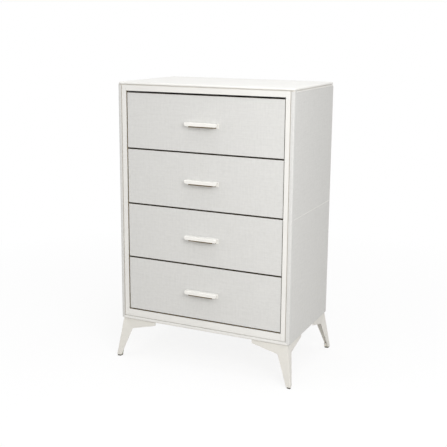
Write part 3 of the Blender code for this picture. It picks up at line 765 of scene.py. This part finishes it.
class CHEST_OT_top_panel(bpy.types.Operator):
    """Models the top: a lip with rounded edges over a core board, with a shadow groove between them."""

    bl_idname = "chest.top_panel"
    bl_label = "Top panel"

    def execute(self, context):
        sizes = context.scene.chest_mouldings
        low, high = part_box("top_panel")
        lip_low = high.z - sizes.lip_thickness
        lip = block((low.x, low.y, lip_low), high)
        round_edges(lip, edges_along(lip, UP), sizes.plan_round, BROAD_STEPS)
        round_edges(lip, edges_at(lip.edges, z=high.z), sizes.lip_round, ROUND_STEPS)
        round_edges(lip, edges_at(lip.edges, z=lip_low), sizes.lip_under_round, FINE_STEPS)
        whole = carved(lip, self.core(sizes, low, lip_low, high.y - sizes.lip_round), "UNION")
        # The groove under the lip gets the darker lacquer: painted shade.
        for face in whole.faces:
            level = face.calc_center_median().z
            if lip_low - sizes.quirk_width < level < lip_low and abs(face.normal.z) < BESIDE_SHARE:
                face.material_index = 1
        finish_piece("top_board", whole, "case", "top_panel", satin_lacquer, groove_lacquer)
        return {"FINISHED"}

    def core(self, sizes, low, lip_low, back):
        """The board under the lip, rebated for the back panel. It rises into the lip."""
        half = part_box("right_side_panel")[1].x
        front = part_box("right_stile")[1].y + FIT_GAP
        back_low, back_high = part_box("back_panel")
        rebate_half = back_high.x + FIT_GAP
        plan = [(half, front), (half, back), (rebate_half, back), (rebate_half, back_low.y - FIT_GAP)]
        plan += [(-x, y) for x, y in reversed(plan)]
        core = bar(plan, UP, low.z, lip_low - sizes.quirk_width)
        round_edges(core, edges_at(core.edges, z=low.z), sizes.arris, ARRIS_STEPS)
        top = [face for face in core.faces if face.normal.z > FACING_SHARE]
        bmesh.ops.inset_region(core, faces=top, thickness=sizes.top_quirk_depth, use_even_offset=True)
        push_faces(core, top, (0, 0, sizes.quirk_width + sizes.lip_thickness / 2))
        bmesh.ops.delete(core, geom=top, context="FACES")
        bmesh.ops.recalc_face_normals(core, faces=core.faces)
        return core


class CHEST_OT_face_frame(bpy.types.Operator):
    """Models the face frame: two stiles and two rails with a rolled bead, a quirk and a flat."""

    bl_idname = "chest.face_frame"
    bl_label = "Face frame"

    def execute(self, context):
        sizes = context.scene.chest_mouldings
        stile_low, stile_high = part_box("right_stile")
        bottom_low, bottom_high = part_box("bottom_rail")
        top_low, top_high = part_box("top_rail")
        # The slab's planes, then the opening's edges, then the width of a bead with its quirk
        self.front, self.back, self.half = bottom_low.y, stile_high.y, stile_high.x
        self.low, self.high, self.over = bottom_low.z, top_high.z, top_high.z + OVERRUN
        self.stile_inner, self.opening_low, self.opening_high = stile_low.x, bottom_high.z, top_low.z
        self.beaded = sizes.bead_width + sizes.quirk_width
        bead_inner, bead_top = self.half - sizes.bead_width, self.low + sizes.bead_width
        top_quirk = (-self.half - OVERRUN, self.half + OVERRUN, self.high - sizes.quirk_width, self.over)
        for name, side in SIDES:
            left, right = sorted((side * (bead_inner - sizes.quirk_width), side * bead_inner))
            quirks = [(left, right, bead_top, self.over), top_quirk]
            self.member(sizes, name + "_stile", self.stile_outline(side), quirks)
        self.member(sizes, "bottom_rail", self.bottom_outline(),
                    [(-bead_inner, bead_inner, bead_top, bead_top + sizes.quirk_width)])
        inner = self.stile_inner - FIT_GAP
        top_outline = [(-inner, self.opening_high), (inner, self.opening_high), (inner, self.over),
                       (-inner, self.over)]
        self.member(sizes, "top_rail", top_outline, [top_quirk])
        return {"FINISHED"}

    def stile_outline(self, side):
        """A stile runs from the mitre of the bottom bead up to the lip."""
        joint = FIT_GAP / 2
        mitre = self.low + self.beaded + joint
        outside = self.half + OVERRUN
        points = [(outside, self.low - OVERRUN + joint), (self.half - self.beaded, mitre),
                  (self.stile_inner, mitre), (self.stile_inner, self.over), (outside, self.over)]
        return [(side * x, z) for x, z in points]

    def bottom_outline(self):
        """The bottom rail fills between the stiles, and its bead runs out to the mitres."""
        joint = FIT_GAP / 2
        mitre = self.low + self.beaded - joint
        inner = self.stile_inner - FIT_GAP
        half = [(self.half + OVERRUN - joint, self.low - OVERRUN), (self.half - self.beaded, mitre),
                (inner, mitre), (inner, self.opening_low)]
        return half + [(-x, z) for x, z in reversed(half)]

    def member(self, sizes, name, outline, quirks):
        """One member, kept from the rolled slab of the whole frame."""
        bm = block((-self.half, self.front, self.low), (self.half, self.back, self.high))
        corners = edges_at(edges_along(bm, DEEP), z=self.low)
        round_edges(bm, corners, sizes.bead_corner_round, BROAD_STEPS)
        top = set(edges_at(bm.edges, z=self.high))
        rolled = [edge for edge in edges_at(bm.edges, y=self.front) if edge not in top]
        round_edges(bm, rolled, sizes.bead_round, ROUND_STEPS)
        bm = carved(bm, bar(outline, DEEP, self.front - OVERRUN, self.back + OVERRUN), "INTERSECT")
        inner = self.half - sizes.bead_width
        flat = block((-inner, self.front - OVERRUN, self.low + sizes.bead_width),
                     (inner, self.front + sizes.flat_setback, self.over))
        bm = carved(bm, flat)
        for left, right, bottom, top in quirks:
            bm = carved(bm, block((left, self.front - OVERRUN, bottom),
                                  (right, self.front + sizes.quirk_depth, top)))
        round_edges(bm, sharp_edges(bm), sizes.arris, ARRIS_STEPS)
        score(bm, DEEP, self.front + sizes.lacquered_edge)
        self.coat(sizes, bm, quirks)
        finish_piece(name + "_wood", bm, "case", name, satin_lacquer, groove_lacquer, raw_board, woven_foil)

    def coat(self, sizes, bm, quirks):
        """Marks painted shade in the grooves, the raw edges deep in the opening and the foil round the side
        beads.
        """
        under_flat = self.front + sizes.flat_setback + sizes.arris
        groove_floor = self.front + sizes.quirk_depth + FIT_GAP
        for face in bm.faces:
            middle = face.calc_center_median()
            beside = self.half - abs(middle.x)
            in_groove = middle.z > self.low + self.beaded and any(
                left - FIT_GAP < middle.x < right + FIT_GAP and bottom - FIT_GAP < middle.z < top + FIT_GAP
                for left, right, bottom, top in quirks)
            from_opening = min(abs(abs(middle.x) - self.stile_inner), abs(middle.z - self.opening_low),
                               abs(middle.z - self.opening_high))
            at_opening = from_opening < FIT_GAP / 2 and abs(face.normal.y) < BESIDE_SHARE
            # Groove faces take the darker lacquer: painted shade.
            if in_groove and under_flat < middle.y < groove_floor:
                face.material_index = 1
            elif at_opening and middle.y > self.front + sizes.lacquered_edge:
                face.material_index = 2
            elif beside < sizes.bead_width + FIT_GAP and middle.z - self.low > beside:
                face.material_index = 3


class CHEST_OT_side_panels(bpy.types.Operator):
    """Models the linen-faced side panels, each with its joint strip at half height."""

    bl_idname = "chest.side_panels"
    bl_label = "Side panels"

    def execute(self, context):
        sizes = context.scene.chest_mouldings
        for name, side in SIDES:
            finish_piece(name + "_side_board", gathered([self.panel(sizes)], side), "case",
                         name + "_side_panel", woven_foil)
            finish_piece(name + "_strip", gathered([self.strip(sizes)], side), "case",
                         name + "_joint_strip", satin_lacquer)
        return {"FINISHED"}

    def panel(self, sizes):
        """The right panel, rebated for the back panel and slotted for the strip."""
        low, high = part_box("right_side_panel")
        back_low, back_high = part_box("back_panel")
        rebate, rebate_front = back_high.x + FIT_GAP, back_low.y - FIT_GAP
        plan = [(high.x, low.y), (high.x, high.y), (rebate, high.y), (rebate, rebate_front),
                (low.x, rebate_front), (low.x, low.y)]
        bm = bar(plan, UP, low.z, high.z)
        strip_low, strip_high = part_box("right_joint_strip")
        middle = (strip_low.z + strip_high.z) / 2
        reach = sizes.strip_tongue / 2 + FIT_GAP
        bm = carved(bm, block((strip_low.x - FIT_GAP, low.y - OVERRUN, middle - reach),
                              (high.x + OVERRUN, high.y + OVERRUN, middle + reach)))
        outer_back = edges_at(edges_along(bm, UP), x=high.x, y=high.y)
        round_edges(bm, outer_back, sizes.panel_edge, FINE_STEPS)
        outer = edges_at(edges_along(bm, DEEP), x=high.x)
        ends = edges_at(outer, z=low.z) + edges_at(outer, z=high.z)
        round_edges(bm, ends, sizes.arris, ARRIS_STEPS)
        return bm

    def strip(self, sizes):
        """The right strip, a T on its side in section: a cap with soft edges and a tongue."""
        low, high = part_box("right_joint_strip")
        under_cap = high.x - sizes.strip_thickness + FIT_GAP
        middle = (low.z + high.z) / 2
        cap, tongue = sizes.strip_height / 2, sizes.strip_tongue / 2
        section = [(under_cap, -cap), (high.x, -cap), (high.x, cap), (under_cap, cap),
                   (under_cap, tongue), (low.x, tongue), (low.x, -tongue), (under_cap, -tongue)]
        bm = bar([(x, middle + z) for x, z in section], DEEP, low.y, high.y)
        outer = edges_at(edges_along(bm, DEEP), x=high.x)
        round_edges(bm, outer, sizes.strip_thickness / 2, ARRIS_STEPS)
        return bm


class CHEST_OT_inner_boards(bpy.types.Operator):
    """Models the bottom panel, the cross rail and the nailed back panel."""

    bl_idname = "chest.inner_boards"
    bl_label = "Inner boards and back"

    def execute(self, context):
        sizes = context.scene.chest_mouldings
        for name in ("bottom_panel", "cross_rail"):
            bm = block(*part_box(name))
            round_edges(bm, bm.edges, sizes.arris, ARRIS_STEPS)
            finish_piece(name + "_board", bm, "case", name, board_foil)
        bm = block(*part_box("back_panel"))
        round_edges(bm, bm.edges, sizes.arris, CHAMFER_STEPS)
        finish_piece("back_board", bm, "case", "back_panel", fibre_panel)
        finish_piece("back_nails", self.nails(sizes), "case", None, bright_zinc)
        return {"FINISHED"}

    def nails(self, sizes):
        """Flat nail heads up both sides and along the bottom of the back panel."""
        low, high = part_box("back_panel")
        edge = (high.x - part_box("right_side_panel")[0].x) / 2
        left, right = low.x + edge, high.x - edge
        under, over = low.z + edge, high.z - edge
        rows = round((over - under) / sizes.nail_spacing)
        columns = round((right - left) / sizes.nail_spacing)
        places = []
        for row in range(rows + 1):
            level = under + (over - under) * row / rows
            places += [(left, level), (right, level)]
        for column in range(1, columns):
            places.append((left + (right - left) * column / columns, under))
        head = turned_head(sizes.nail_head / 2, sizes.nail_rise, NAIL_HEAD_SHARES, NAIL_STEPS)
        return repeated(head, [((x, high.y, z), (0, 1, 0)) for x, z in places])


class CHEST_OT_legs(bpy.types.Operator):
    """Folds the four corner legs from sheet, and adds their glides and screws."""

    bl_idname = "chest.legs"
    bl_label = "Legs and glides"

    def execute(self, context):
        sizes = context.scene.chest_legs
        case_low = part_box("bottom_rail")[0].z
        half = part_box("right_stile")[1].x - sizes.inset
        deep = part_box("right_side_panel")[1].y - sizes.inset
        self.drop = case_low - sizes.glide_below - FIT_GAP
        self.tip = Vector((sizes.splay, sizes.splay, -self.drop))
        middle = sizes.plate_width / 2
        holes = ((sizes.screw_far, middle), (middle, sizes.screw_far), (middle, middle))
        leg = self.leg(sizes, holes)
        glide = self.glide(sizes, case_low)
        corners = (("back_right", 1, 1, 0), ("back_left", -1, 1, 1), ("front_left", -1, -1, 2),
                   ("front_right", 1, -1, 3))
        for name, side_x, side_y, quarters in corners:
            turn = Matrix.Rotation(quarters * math.tau / 4, 4, "Z")
            place_leg = Matrix.Translation((side_x * half, side_y * deep, case_low - FIT_GAP)) @ turn
            place_glide = Matrix.Translation((side_x * half, side_y * deep, case_low)) @ turn
            spots = [(place_leg @ Vector((-x, -y, -sizes.sheet)), (0, 0, -1)) for x, y in holes]
            finish_piece("steel_leg_" + name, moved(leg.copy(), place_leg), "case", "leg_" + name,
                         powder_coat)
            finish_piece("foot_" + name, moved(glide.copy(), place_glide), "case", "glide_" + name,
                         foot_plastic, roller_nylon)
            finish_piece("leg_screws_" + name, screws(context.scene.chest_hardware, spots), "case", None,
                         bright_zinc)
        leg.free()
        glide.free()
        return {"FINISHED"}

    def flange_direction(self, sizes):
        """The level way across a leaning flange, from the ridge inwards."""
        steps = self.drop / sizes.armpit_drop
        fold_end = Vector((-sizes.armpit_run * steps, 0, -self.drop))
        return (fold_end - self.tip).normalized()

    def skin(self, sizes):
        """The outer skin: five faces that meet in folds. The leg's corner is at the origin."""
        half = {
            "wing_top": Vector((-sizes.wing_length, 0, 0)),
            "wing_end": Vector((-sizes.wing_length, 0, -sizes.wing_end_height)),
            "armpit": Vector((-sizes.armpit_run, 0, -sizes.armpit_drop)),
            "tip_inner": self.tip + self.flange_direction(sizes) * sizes.tip_width,
            "plate_outer": Vector((-sizes.wing_length, -sizes.plate_width, 0)),
        }
        points = {"corner": Vector(), "tip": self.tip,
                  "plate_inner": Vector((-sizes.plate_width, -sizes.plate_width, 0))}
        points.update(half)
        points.update({name + "_b": Vector((co.y, co.x, co.z)) for name, co in half.items()})
        bm = bmesh.new()
        vert = {name: bm.verts.new(co) for name, co in points.items()}
        for names in (("corner", "wing_top", "wing_end", "armpit"),
                      ("corner", "armpit", "tip_inner", "tip"),
                      ("corner", "armpit_b", "wing_end_b", "wing_top_b"),
                      ("corner", "tip", "tip_inner_b", "armpit_b"),
                      ("corner", "wing_top_b", "plate_outer_b", "plate_inner", "plate_outer", "wing_top")):
            bm.faces.new([vert[name] for name in names])
        bmesh.ops.recalc_face_normals(bm, faces=bm.faces)
        plate = max(bm.faces, key=lambda face: len(face.verts))
        if plate.normal.z < 0:
            bmesh.ops.reverse_faces(bm, faces=bm.faces)
        return bm

    def leg(self, sizes, holes):
        """The skin with rounded folds, the sheet's thickness and the screw holes."""
        bm = self.skin(sizes)
        folds = [edge for edge in bm.edges if len(edge.link_faces) == 2]
        round_edges(bm, folds, sizes.fold_round, BEND_STEPS)
        bm = shaped(bm, "SOLIDIFY", thickness=sizes.sheet, offset=-1.0, use_even_offset=True,
                    use_quality_normals=True)
        radius = sizes.screw_hole / 2
        for x, y in holes:
            hole = bmesh.new()
            bmesh.ops.create_cone(hole, cap_ends=True, segments=HEAD_STEPS, radius1=radius, radius2=radius,
                                  depth=OVERRUN * 2, matrix=Matrix.Translation((-x, -y, 0)))
            bm = carved(bm, hole)
        round_edges(bm, sharp_edges(bm, SHEET_ANGLE), sizes.cut_edge, ARRIS_STEPS)
        return bm

    def glide(self, sizes, case_low):
        """A pale block that leans with the leg, on a dark pad below the tip."""
        ridge = self.tip / self.drop
        along_x = self.flange_direction(sizes)
        along_y = Vector((along_x.y, along_x.x, along_x.z))
        foot = ridge * (case_low - FIT_GAP) + (along_x + along_y) * (sizes.sheet + FIT_GAP)
        foot.z = -case_low
        wide_x, wide_y = along_x * sizes.glide_width, along_y * sizes.glide_width
        corners = [foot, foot + wide_x, foot + wide_x + wide_y, foot + wide_y]
        bm = prism(corners, -ridge * (sizes.glide_below + sizes.glide_inside))
        uprights = [edge for edge in bm.edges
                    if abs(edge.verts[0].co.z - edge.verts[1].co.z) > sizes.glide_below]
        round_edges(bm, uprights, sizes.glide_edge, FINE_STEPS)
        round_edges(bm, edges_at(bm.edges, z=foot.z), sizes.glide_edge / 2, FINE_STEPS)
        leg_end = foot.z + sizes.glide_below
        score(bm, UP, leg_end)
        for face in bm.faces:
            if face.calc_center_median().z > leg_end:
                face.material_index = 1
        return bm


class CHEST_OT_drawer_boxes(bpy.types.Operator):
    """Models the drawer fronts and boxes, with their cam caps and pull screws."""

    bl_idname = "chest.drawer_boxes"
    bl_label = "Drawer fronts and boxes"

    def execute(self, context):
        sizes = context.scene.chest_drawers
        hardware = context.scene.chest_hardware
        arris = context.scene.chest_mouldings.arris * BOX_EDGE_SHARE
        for number in DRAWERS:
            body = "drawer_%d" % number
            node = body + "_"
            finish_piece(node + "face", self.front(sizes, node), body, node + "front", woven_foil,
                         board_foil, edge_band)
            for name, side in SIDES:
                finish_piece(node + "board_" + name, gathered([self.box_side(sizes, node)], side), body,
                             node + "side_" + name, board_foil)
            bm = block(*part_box(node + "back"))
            top = edges_at(edges_along(bm, ACROSS), z=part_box(node + "back")[1].z)
            round_edges(bm, top, sizes.rim_round, FINE_STEPS)
            round_edges(bm, sharp_edges(bm), arris, CHAMFER_STEPS)
            finish_piece(node + "board_back", bm, body, node + "back", board_foil)
            bm = block(*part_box(node + "bottom"))
            round_edges(bm, bm.edges, arris, CHAMFER_STEPS)
            finish_piece(node + "base", bm, body, node + "bottom", fibre_panel)
            finish_piece(node + "cams", self.cams(hardware, node), body, None, bright_zinc)
            finish_piece(node + "pull_screws", self.pull_screws(sizes, hardware, node), body, None,
                         bright_zinc)
        return {"FINISHED"}

    def front(self, sizes, node):
        """A front with a groove behind for the box bottom. Its back face has the board's foil."""
        low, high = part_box(node + "front")
        groove_low, groove_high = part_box(node + "bottom")
        groove = groove_low.y - FIT_GAP
        under, over = groove_low.z - FIT_GAP, groove_high.z + FIT_GAP
        section = [(low.y, low.z), (high.y, low.z), (high.y, under), (groove, under), (groove, over),
                   (high.y, over), (high.y, high.z), (low.y, high.z)]
        bm = bar(section, ACROSS, low.x, high.x)
        round_edges(bm, edges_at(bm.edges, y=low.y), sizes.front_edge, FINE_STEPS)
        outer_back = edges_at(sharp_edges(bm), y=high.y)
        round_edges(bm, outer_back, sizes.front_edge * BACK_EDGE_SHARE, CHAMFER_STEPS)
        # Edges and the groove take the dark band: brown board edges, and painted shade in the gaps.
        for face in bm.faces:
            if abs(face.normal.y) < FACING_SHARE:
                face.material_index = 2
            elif face.normal.y > 0:
                face.material_index = 1
        return bm

    def box_side(self, sizes, node):
        """The right side, grooved for the bottom, with its upper edges rounded over."""
        low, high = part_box(node + "side_right")
        groove_low, groove_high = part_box(node + "bottom")
        under, over = groove_low.z - FIT_GAP, groove_high.z + FIT_GAP
        groove = groove_high.x + FIT_GAP
        section = [(high.x, low.z), (high.x, high.z), (low.x, high.z), (low.x, over), (groove, over),
                   (groove, under), (low.x, under), (low.x, low.z)]
        bm = bar(section, DEEP, low.y, high.y)
        round_edges(bm, edges_at(edges_along(bm, DEEP), z=high.z), sizes.rim_round, FINE_STEPS)
        return bm

    def cams(self, hardware, node):
        """Cam caps on the inner faces near the front, two on each side."""
        low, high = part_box(node + "side_right")
        from_front = hardware.cam_width * CAM_FRONT_SHARE
        levels = [low.z + (high.z - low.z) * part for part in CAM_LEVEL_SHARES]
        cap = recessed_head(hardware.cam_width / 2, hardware.cam_rise, CAM_CAP_SHARES, CAM_RECESS_SHARES)
        return repeated(cap, [((side * low.x, low.y + from_front, level), (-side, 0, 0))
                              for _, side in SIDES for level in levels])

    def pull_screws(self, sizes, hardware, node):
        """Two screw heads behind the front hold its pull."""
        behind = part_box(node + "front")[1].y
        pull_low, pull_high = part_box(node + "handle")
        level = pull_low.z + (pull_high.z - pull_low.z) * PULL_SCREW_SHARE
        half = sizes.pull_screw_spacing / 2
        return screws(hardware, [((side * half, behind, level), (0, 1, 0)) for _, side in SIDES])


class CHEST_OT_pulls(bpy.types.Operator):
    """Folds each pull from one strip, a back plate, a top plate and a front lip, and lines it with dark
    felt as painted shade.
    """

    bl_idname = "chest.pulls"
    bl_label = "Pulls"

    def execute(self, context):
        sizes = context.scene.chest_drawers
        for number in DRAWERS:
            body = "drawer_%d" % number
            low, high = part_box(body + "_handle")
            finish_piece(body + "_pull", self.pull(sizes, low, high), body, body + "_handle", pull_coat)
            finish_piece(body + "_pull_felt", self.felt(sizes, low, high), body, None, brown_felt)
        return {"FINISHED"}

    def felt(self, sizes, low, high):
        """Painted shade: dark strips on the back plate in the hollow, and behind the lip showing under it.
        """
        thick = sizes.felt_thickness
        ceiling = high.z - sizes.pull_plate - sizes.pull_fold_inside
        back, lip = high.y - sizes.pull_plate, low.y + sizes.pull_plate
        back_strip = (back - thick, back, sizes.felt_end, low.z + sizes.pull_edge)
        lip_strip = (lip, lip + thick, sizes.pull_corner + sizes.felt_end,
                     high.z - sizes.pull_lip - sizes.felt_show)
        strips = []
        for near, far, end, under in (back_strip, lip_strip):
            strip = block((low.x + end, near + sizes.felt_glue, under),
                          (high.x - end, far - sizes.felt_glue, ceiling))
            round_edges(strip, strip.edges, thick * SHADOW_FELT_EDGE_SHARE, CHAMFER_STEPS)
            strips.append(strip)
        return gathered(strips)

    def pull(self, sizes, low, high):
        """The folded strip, with rounded lower corners on its lip."""
        back, lip = high.y - sizes.pull_plate, low.y + sizes.pull_plate
        under_top, lip_low = high.z - sizes.pull_plate, high.z - sizes.pull_lip
        section = [(high.y, high.z), (high.y, low.z), (back, low.z), (back, under_top), (lip, under_top),
                   (lip, lip_low), (low.y, lip_low), (low.y, high.z)]
        bm = bar(section, ACROSS, low.x, high.x)
        round_edges(bm, edges_at(edges_along(bm, DEEP), z=lip_low), sizes.pull_corner, ROUND_STEPS)
        round_edges(bm, edges_at(edges_along(bm, ACROSS), z=high.z), sizes.pull_fold, ROUND_STEPS)
        inner = edges_at(edges_along(bm, ACROSS), z=under_top)
        round_edges(bm, inner, sizes.pull_fold_inside, FINE_STEPS)
        round_edges(bm, sharp_edges(bm), sizes.pull_edge, FINE_STEPS)
        return bm


class CHEST_OT_runners(bpy.types.Operator):
    """Models the roller runners: a channel on the case and a rail on the drawer, each with a roller."""

    bl_idname = "chest.runners"
    bl_label = "Runners"

    def execute(self, context):
        sizes = context.scene.chest_hardware
        for number in DRAWERS:
            for name, side in SIDES:
                self.cabinet_member(sizes, number, name, side)
                self.drawer_member(sizes, number, name, side)
        return {"FINISHED"}

    def cabinet_member(self, sizes, number, name, side):
        """A channel with its web against the side panel, and screws through the web."""
        node = "cabinet_runner_%d_" % number
        low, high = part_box(node + "right")
        sheet = sizes.runner_sheet
        web, under, over = high.x - sheet, low.z + sheet, high.z - sheet
        section = [(high.x, low.z), (high.x, high.z), (low.x, high.z), (low.x, over), (web, over),
                   (web, under), (low.x, under), (low.x, low.z)]
        bm = bar(section, DEEP, low.y, high.y)
        self.fold(sizes, bm, edges_at(edges_along(bm, DEEP), x=high.x))
        level = under + sizes.roller_clearance + sizes.roller_diameter / 2
        centre = (web, low.y + sizes.roller_from_end, level)
        spots = [((web, low.y + (high.y - low.y) * part, level), (-1, 0, 0))
                 for part in CABINET_SCREW_SHARES]
        self.dress(sizes, node, name, side, bm, centre, -1, spots, "case")

    def drawer_member(self, sizes, number, name, side):
        """A hook under the box side, a web up it and a rail that runs over the case's roller."""
        body = "drawer_%d" % number
        node = body + "_runner_"
        low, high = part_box(node + "right")
        sheet = sizes.runner_sheet
        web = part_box(body + "_side_right")[1].x + FIT_GAP
        outside, under, over = web + sheet, low.z + sheet, high.z - sheet
        section = [(low.x, low.z), (outside, low.z), (outside, over), (high.x, over), (high.x, high.z),
                   (web, high.z), (web, under), (low.x, under)]
        bm = bar(section, DEEP, low.y, high.y)
        along = edges_along(bm, DEEP)
        self.fold(sizes, bm, edges_at(along, x=outside, z=low.z) + edges_at(along, x=web, z=high.z))
        centre = (outside, high.y - sizes.roller_from_end, under + FIT_GAP + sizes.roller_diameter / 2)
        spots = [(((low.x + web) / 2, low.y + (high.y - low.y) * part, low.z), (0, 0, -1))
                 for part in DRAWER_SCREW_SHARES]
        self.dress(sizes, node, name, side, bm, centre, 1, spots, body)

    def fold(self, sizes, bm, folds):
        """Rounds a member's folds, and takes the sharpness off its cut edges."""
        round_edges(bm, folds, sizes.runner_fold, FINE_STEPS)
        round_edges(bm, sharp_edges(bm), sizes.runner_sheet * CUT_EDGE_SHARE, CHAMFER_STEPS)

    def dress(self, sizes, node, name, side, member, centre, way, spots, body):
        """Finishes one member with its roller, its pin and its screws. Way is where the roller points."""
        finish_piece(node + "rail_" + name, gathered([member], side), body, node + name, runner_coat)
        across = stand(centre, (way, 0, 0))
        roller = moved(turned(self.roller_profile(sizes), ROLLER_STEPS), across)
        finish_piece(node + "roller_" + name, gathered([roller], side), body, None, roller_nylon)
        pin = moved(turned(self.pin_profile(sizes), HEAD_STEPS), across)
        finish_piece(node + "screws_" + name, gathered([pin, screws(sizes, spots)], side), body, None,
                     bright_zinc)

    def roller_profile(self, sizes):
        """A tread with soft rims, dished on its outer face round a raised hub."""
        radius = sizes.roller_diameter / 2
        near = sizes.roller_stub
        far = near + sizes.roller_width
        rim = radius * 0.08
        ring, dish = radius * 0.8, radius * 0.74
        bore = sizes.pin_diameter / 2
        hub_foot, hub = bore * 1.5, bore * 1.35
        floor = far - sizes.roller_width * 0.16
        return [(bore, near), (radius - rim, near), (radius, near + rim), (radius, far - rim),
                (radius - rim, far), (ring, far), (dish, floor), (hub_foot, floor), (hub, far), (bore, far),
                (bore, near)]

    def pin_profile(self, sizes):
        """A pin a little thinner than the bore, with a low crown outside the roller."""
        radius = sizes.pin_diameter / 2 - FIT_GAP / 2
        far = sizes.roller_stub + sizes.roller_width
        crown, crown_radius = far + sizes.pin_diameter * 0.1, radius * 0.8
        return [(0, 0), (radius, 0), (radius, far), (crown_radius, crown), (0, crown)]


class CHEST_OT_studio(bpy.types.Operator):
    """Sets a plain floor, soft lamps and the camera."""

    bl_idname = "chest.studio"
    bl_label = "Studio"

    def execute(self, context):
        studio = context.scene.chest_studio
        context.scene.view_settings.view_transform = "Standard"
        self.floor(studio)
        self.world(context.scene, studio)
        for name, (spot, target, width) in SOFTBOXES.items():
            power = getattr(studio, name + "_power")
            self.lamp(name + "_softbox", Vector(spot), Vector(target), width, power)
        self.camera(context.scene, studio)
        return {"FINISHED"}

    def floor(self, studio):
        bm = bmesh.new()
        bmesh.ops.create_circle(bm, cap_ends=True, segments=FLOOR_STEPS, radius=studio.floor_radius,
                                matrix=Matrix.Translation((0, 0, -studio.floor_drop)))
        floor = new_object("floor", mesh_of("floor", bm))
        floor.data.materials.append(self.floor_material(studio))

    def floor_material(self, studio):
        """Paper that looks white but for a soft shadow near by, and that throws back a warm light."""
        paper = Finish("floor_paper")
        paper.set(Roughness=0.9, Specular_IOR_Level=0.1, Base_Color=tint(studio.floor_bounce))
        distance = paper.tree.nodes.new("ShaderNodeVectorMath")
        distance.operation = "LENGTH"
        paper.feed_socket(distance.inputs[0], paper.where)
        far = paper.spread(distance.outputs["Value"], studio.floor_clear * FLOOR_NEAR_SHARE,
                           studio.floor_clear, to_low=1.0 - studio.floor_shadow)
        shaded = paper.node("ShaderNodeBsdfDiffuse", Color=WHITE)
        plain = paper.node("ShaderNodeEmission", Strength=1.0)
        white = paper.mixed(far, shaded, plain)
        seen = paper.mixed(paper.shown_rays(), paper.shader, white)
        paper.feed(paper.tree.nodes["Material Output"], Surface=seen.outputs[0])
        return paper.material

    def world(self, scene, studio):
        """White to the camera and in reflections, and a softer white as light."""
        scene.world = bpy.data.worlds.new("studio_world")
        scene.world.use_nodes = True
        sky = Shading(scene.world.node_tree)
        light = sky.tree.nodes["Background"]
        sky.feed(light, Color=WHITE, Strength=studio.ambient)
        backdrop = sky.node("ShaderNodeBackground", Color=WHITE, Strength=1.0)
        seen = sky.mixed(sky.shown_rays(), light, backdrop)
        sky.feed(sky.tree.nodes["World Output"], Surface=seen.outputs[0])

    def lamp(self, name, spot, target, width, power):
        data = bpy.data.lights.new(name, "AREA")
        data.size = width
        data.energy = power
        lamp = new_object(name, data)
        lamp.location = spot
        lamp.rotation_euler = (target - spot).to_track_quat("-Z", "Y").to_euler()

    def camera(self, scene, studio):
        data = bpy.data.cameras.new("photo_camera")
        data.lens = studio.lens
        data.sensor_width = studio.sensor
        data.shift_y = studio.shift
        camera = new_object("photo_camera", data)
        camera.location = studio.camera_place
        turn = Matrix.Rotation(studio.camera_turn, 3, "Z")
        dip = Matrix.Rotation(math.tau / 4 - studio.camera_dip, 3, "X")
        roll = Matrix.Rotation(studio.camera_roll, 3, "Z")
        camera.rotation_euler = (turn @ dip @ roll).to_euler()
        scene.camera = camera


OPERATORS = (
    CHEST_OT_studio,
    CHEST_OT_top_panel,
    CHEST_OT_face_frame,
    CHEST_OT_side_panels,
    CHEST_OT_inner_boards,
    CHEST_OT_legs,
    CHEST_OT_drawer_boxes,
    CHEST_OT_pulls,
    CHEST_OT_runners,
)


class CHEST_PT_builder(bpy.types.Panel):
    """Lists the chest's pieces and sizes in the sidebar."""

    bl_idname = "CHEST_PT_builder"
    bl_label = "Tall chest"
    bl_space_type = "VIEW_3D"
    bl_region_type = "UI"
    bl_category = "Chest"

    def draw(self, context):
        pieces = self.layout.column(align=True)
        for operator in OPERATORS:
            pieces.operator(operator.bl_idname)
        for name, group in GROUPS.items():
            sizes = self.layout.box().column(align=True)
            for entry in group.__annotations__:
                sizes.prop(getattr(context.scene, name), entry)


CLASSES = (*GROUPS.values(), *OPERATORS, CHEST_PT_builder)


def register():
    for entry in CLASSES:
        bpy.utils.register_class(entry)
    for name, group in GROUPS.items():
        setattr(bpy.types.Scene, name, PointerProperty(type=group))


def unregister():
    for name in GROUPS:
        delattr(bpy.types.Scene, name)
    for entry in reversed(CLASSES):
        bpy.utils.unregister_class(entry)


def main():
    register()
    for operator in OPERATORS:
        group, name = operator.bl_idname.split(".")
        getattr(getattr(bpy.ops, group), name)()


if __name__ == "__main__":
    main()
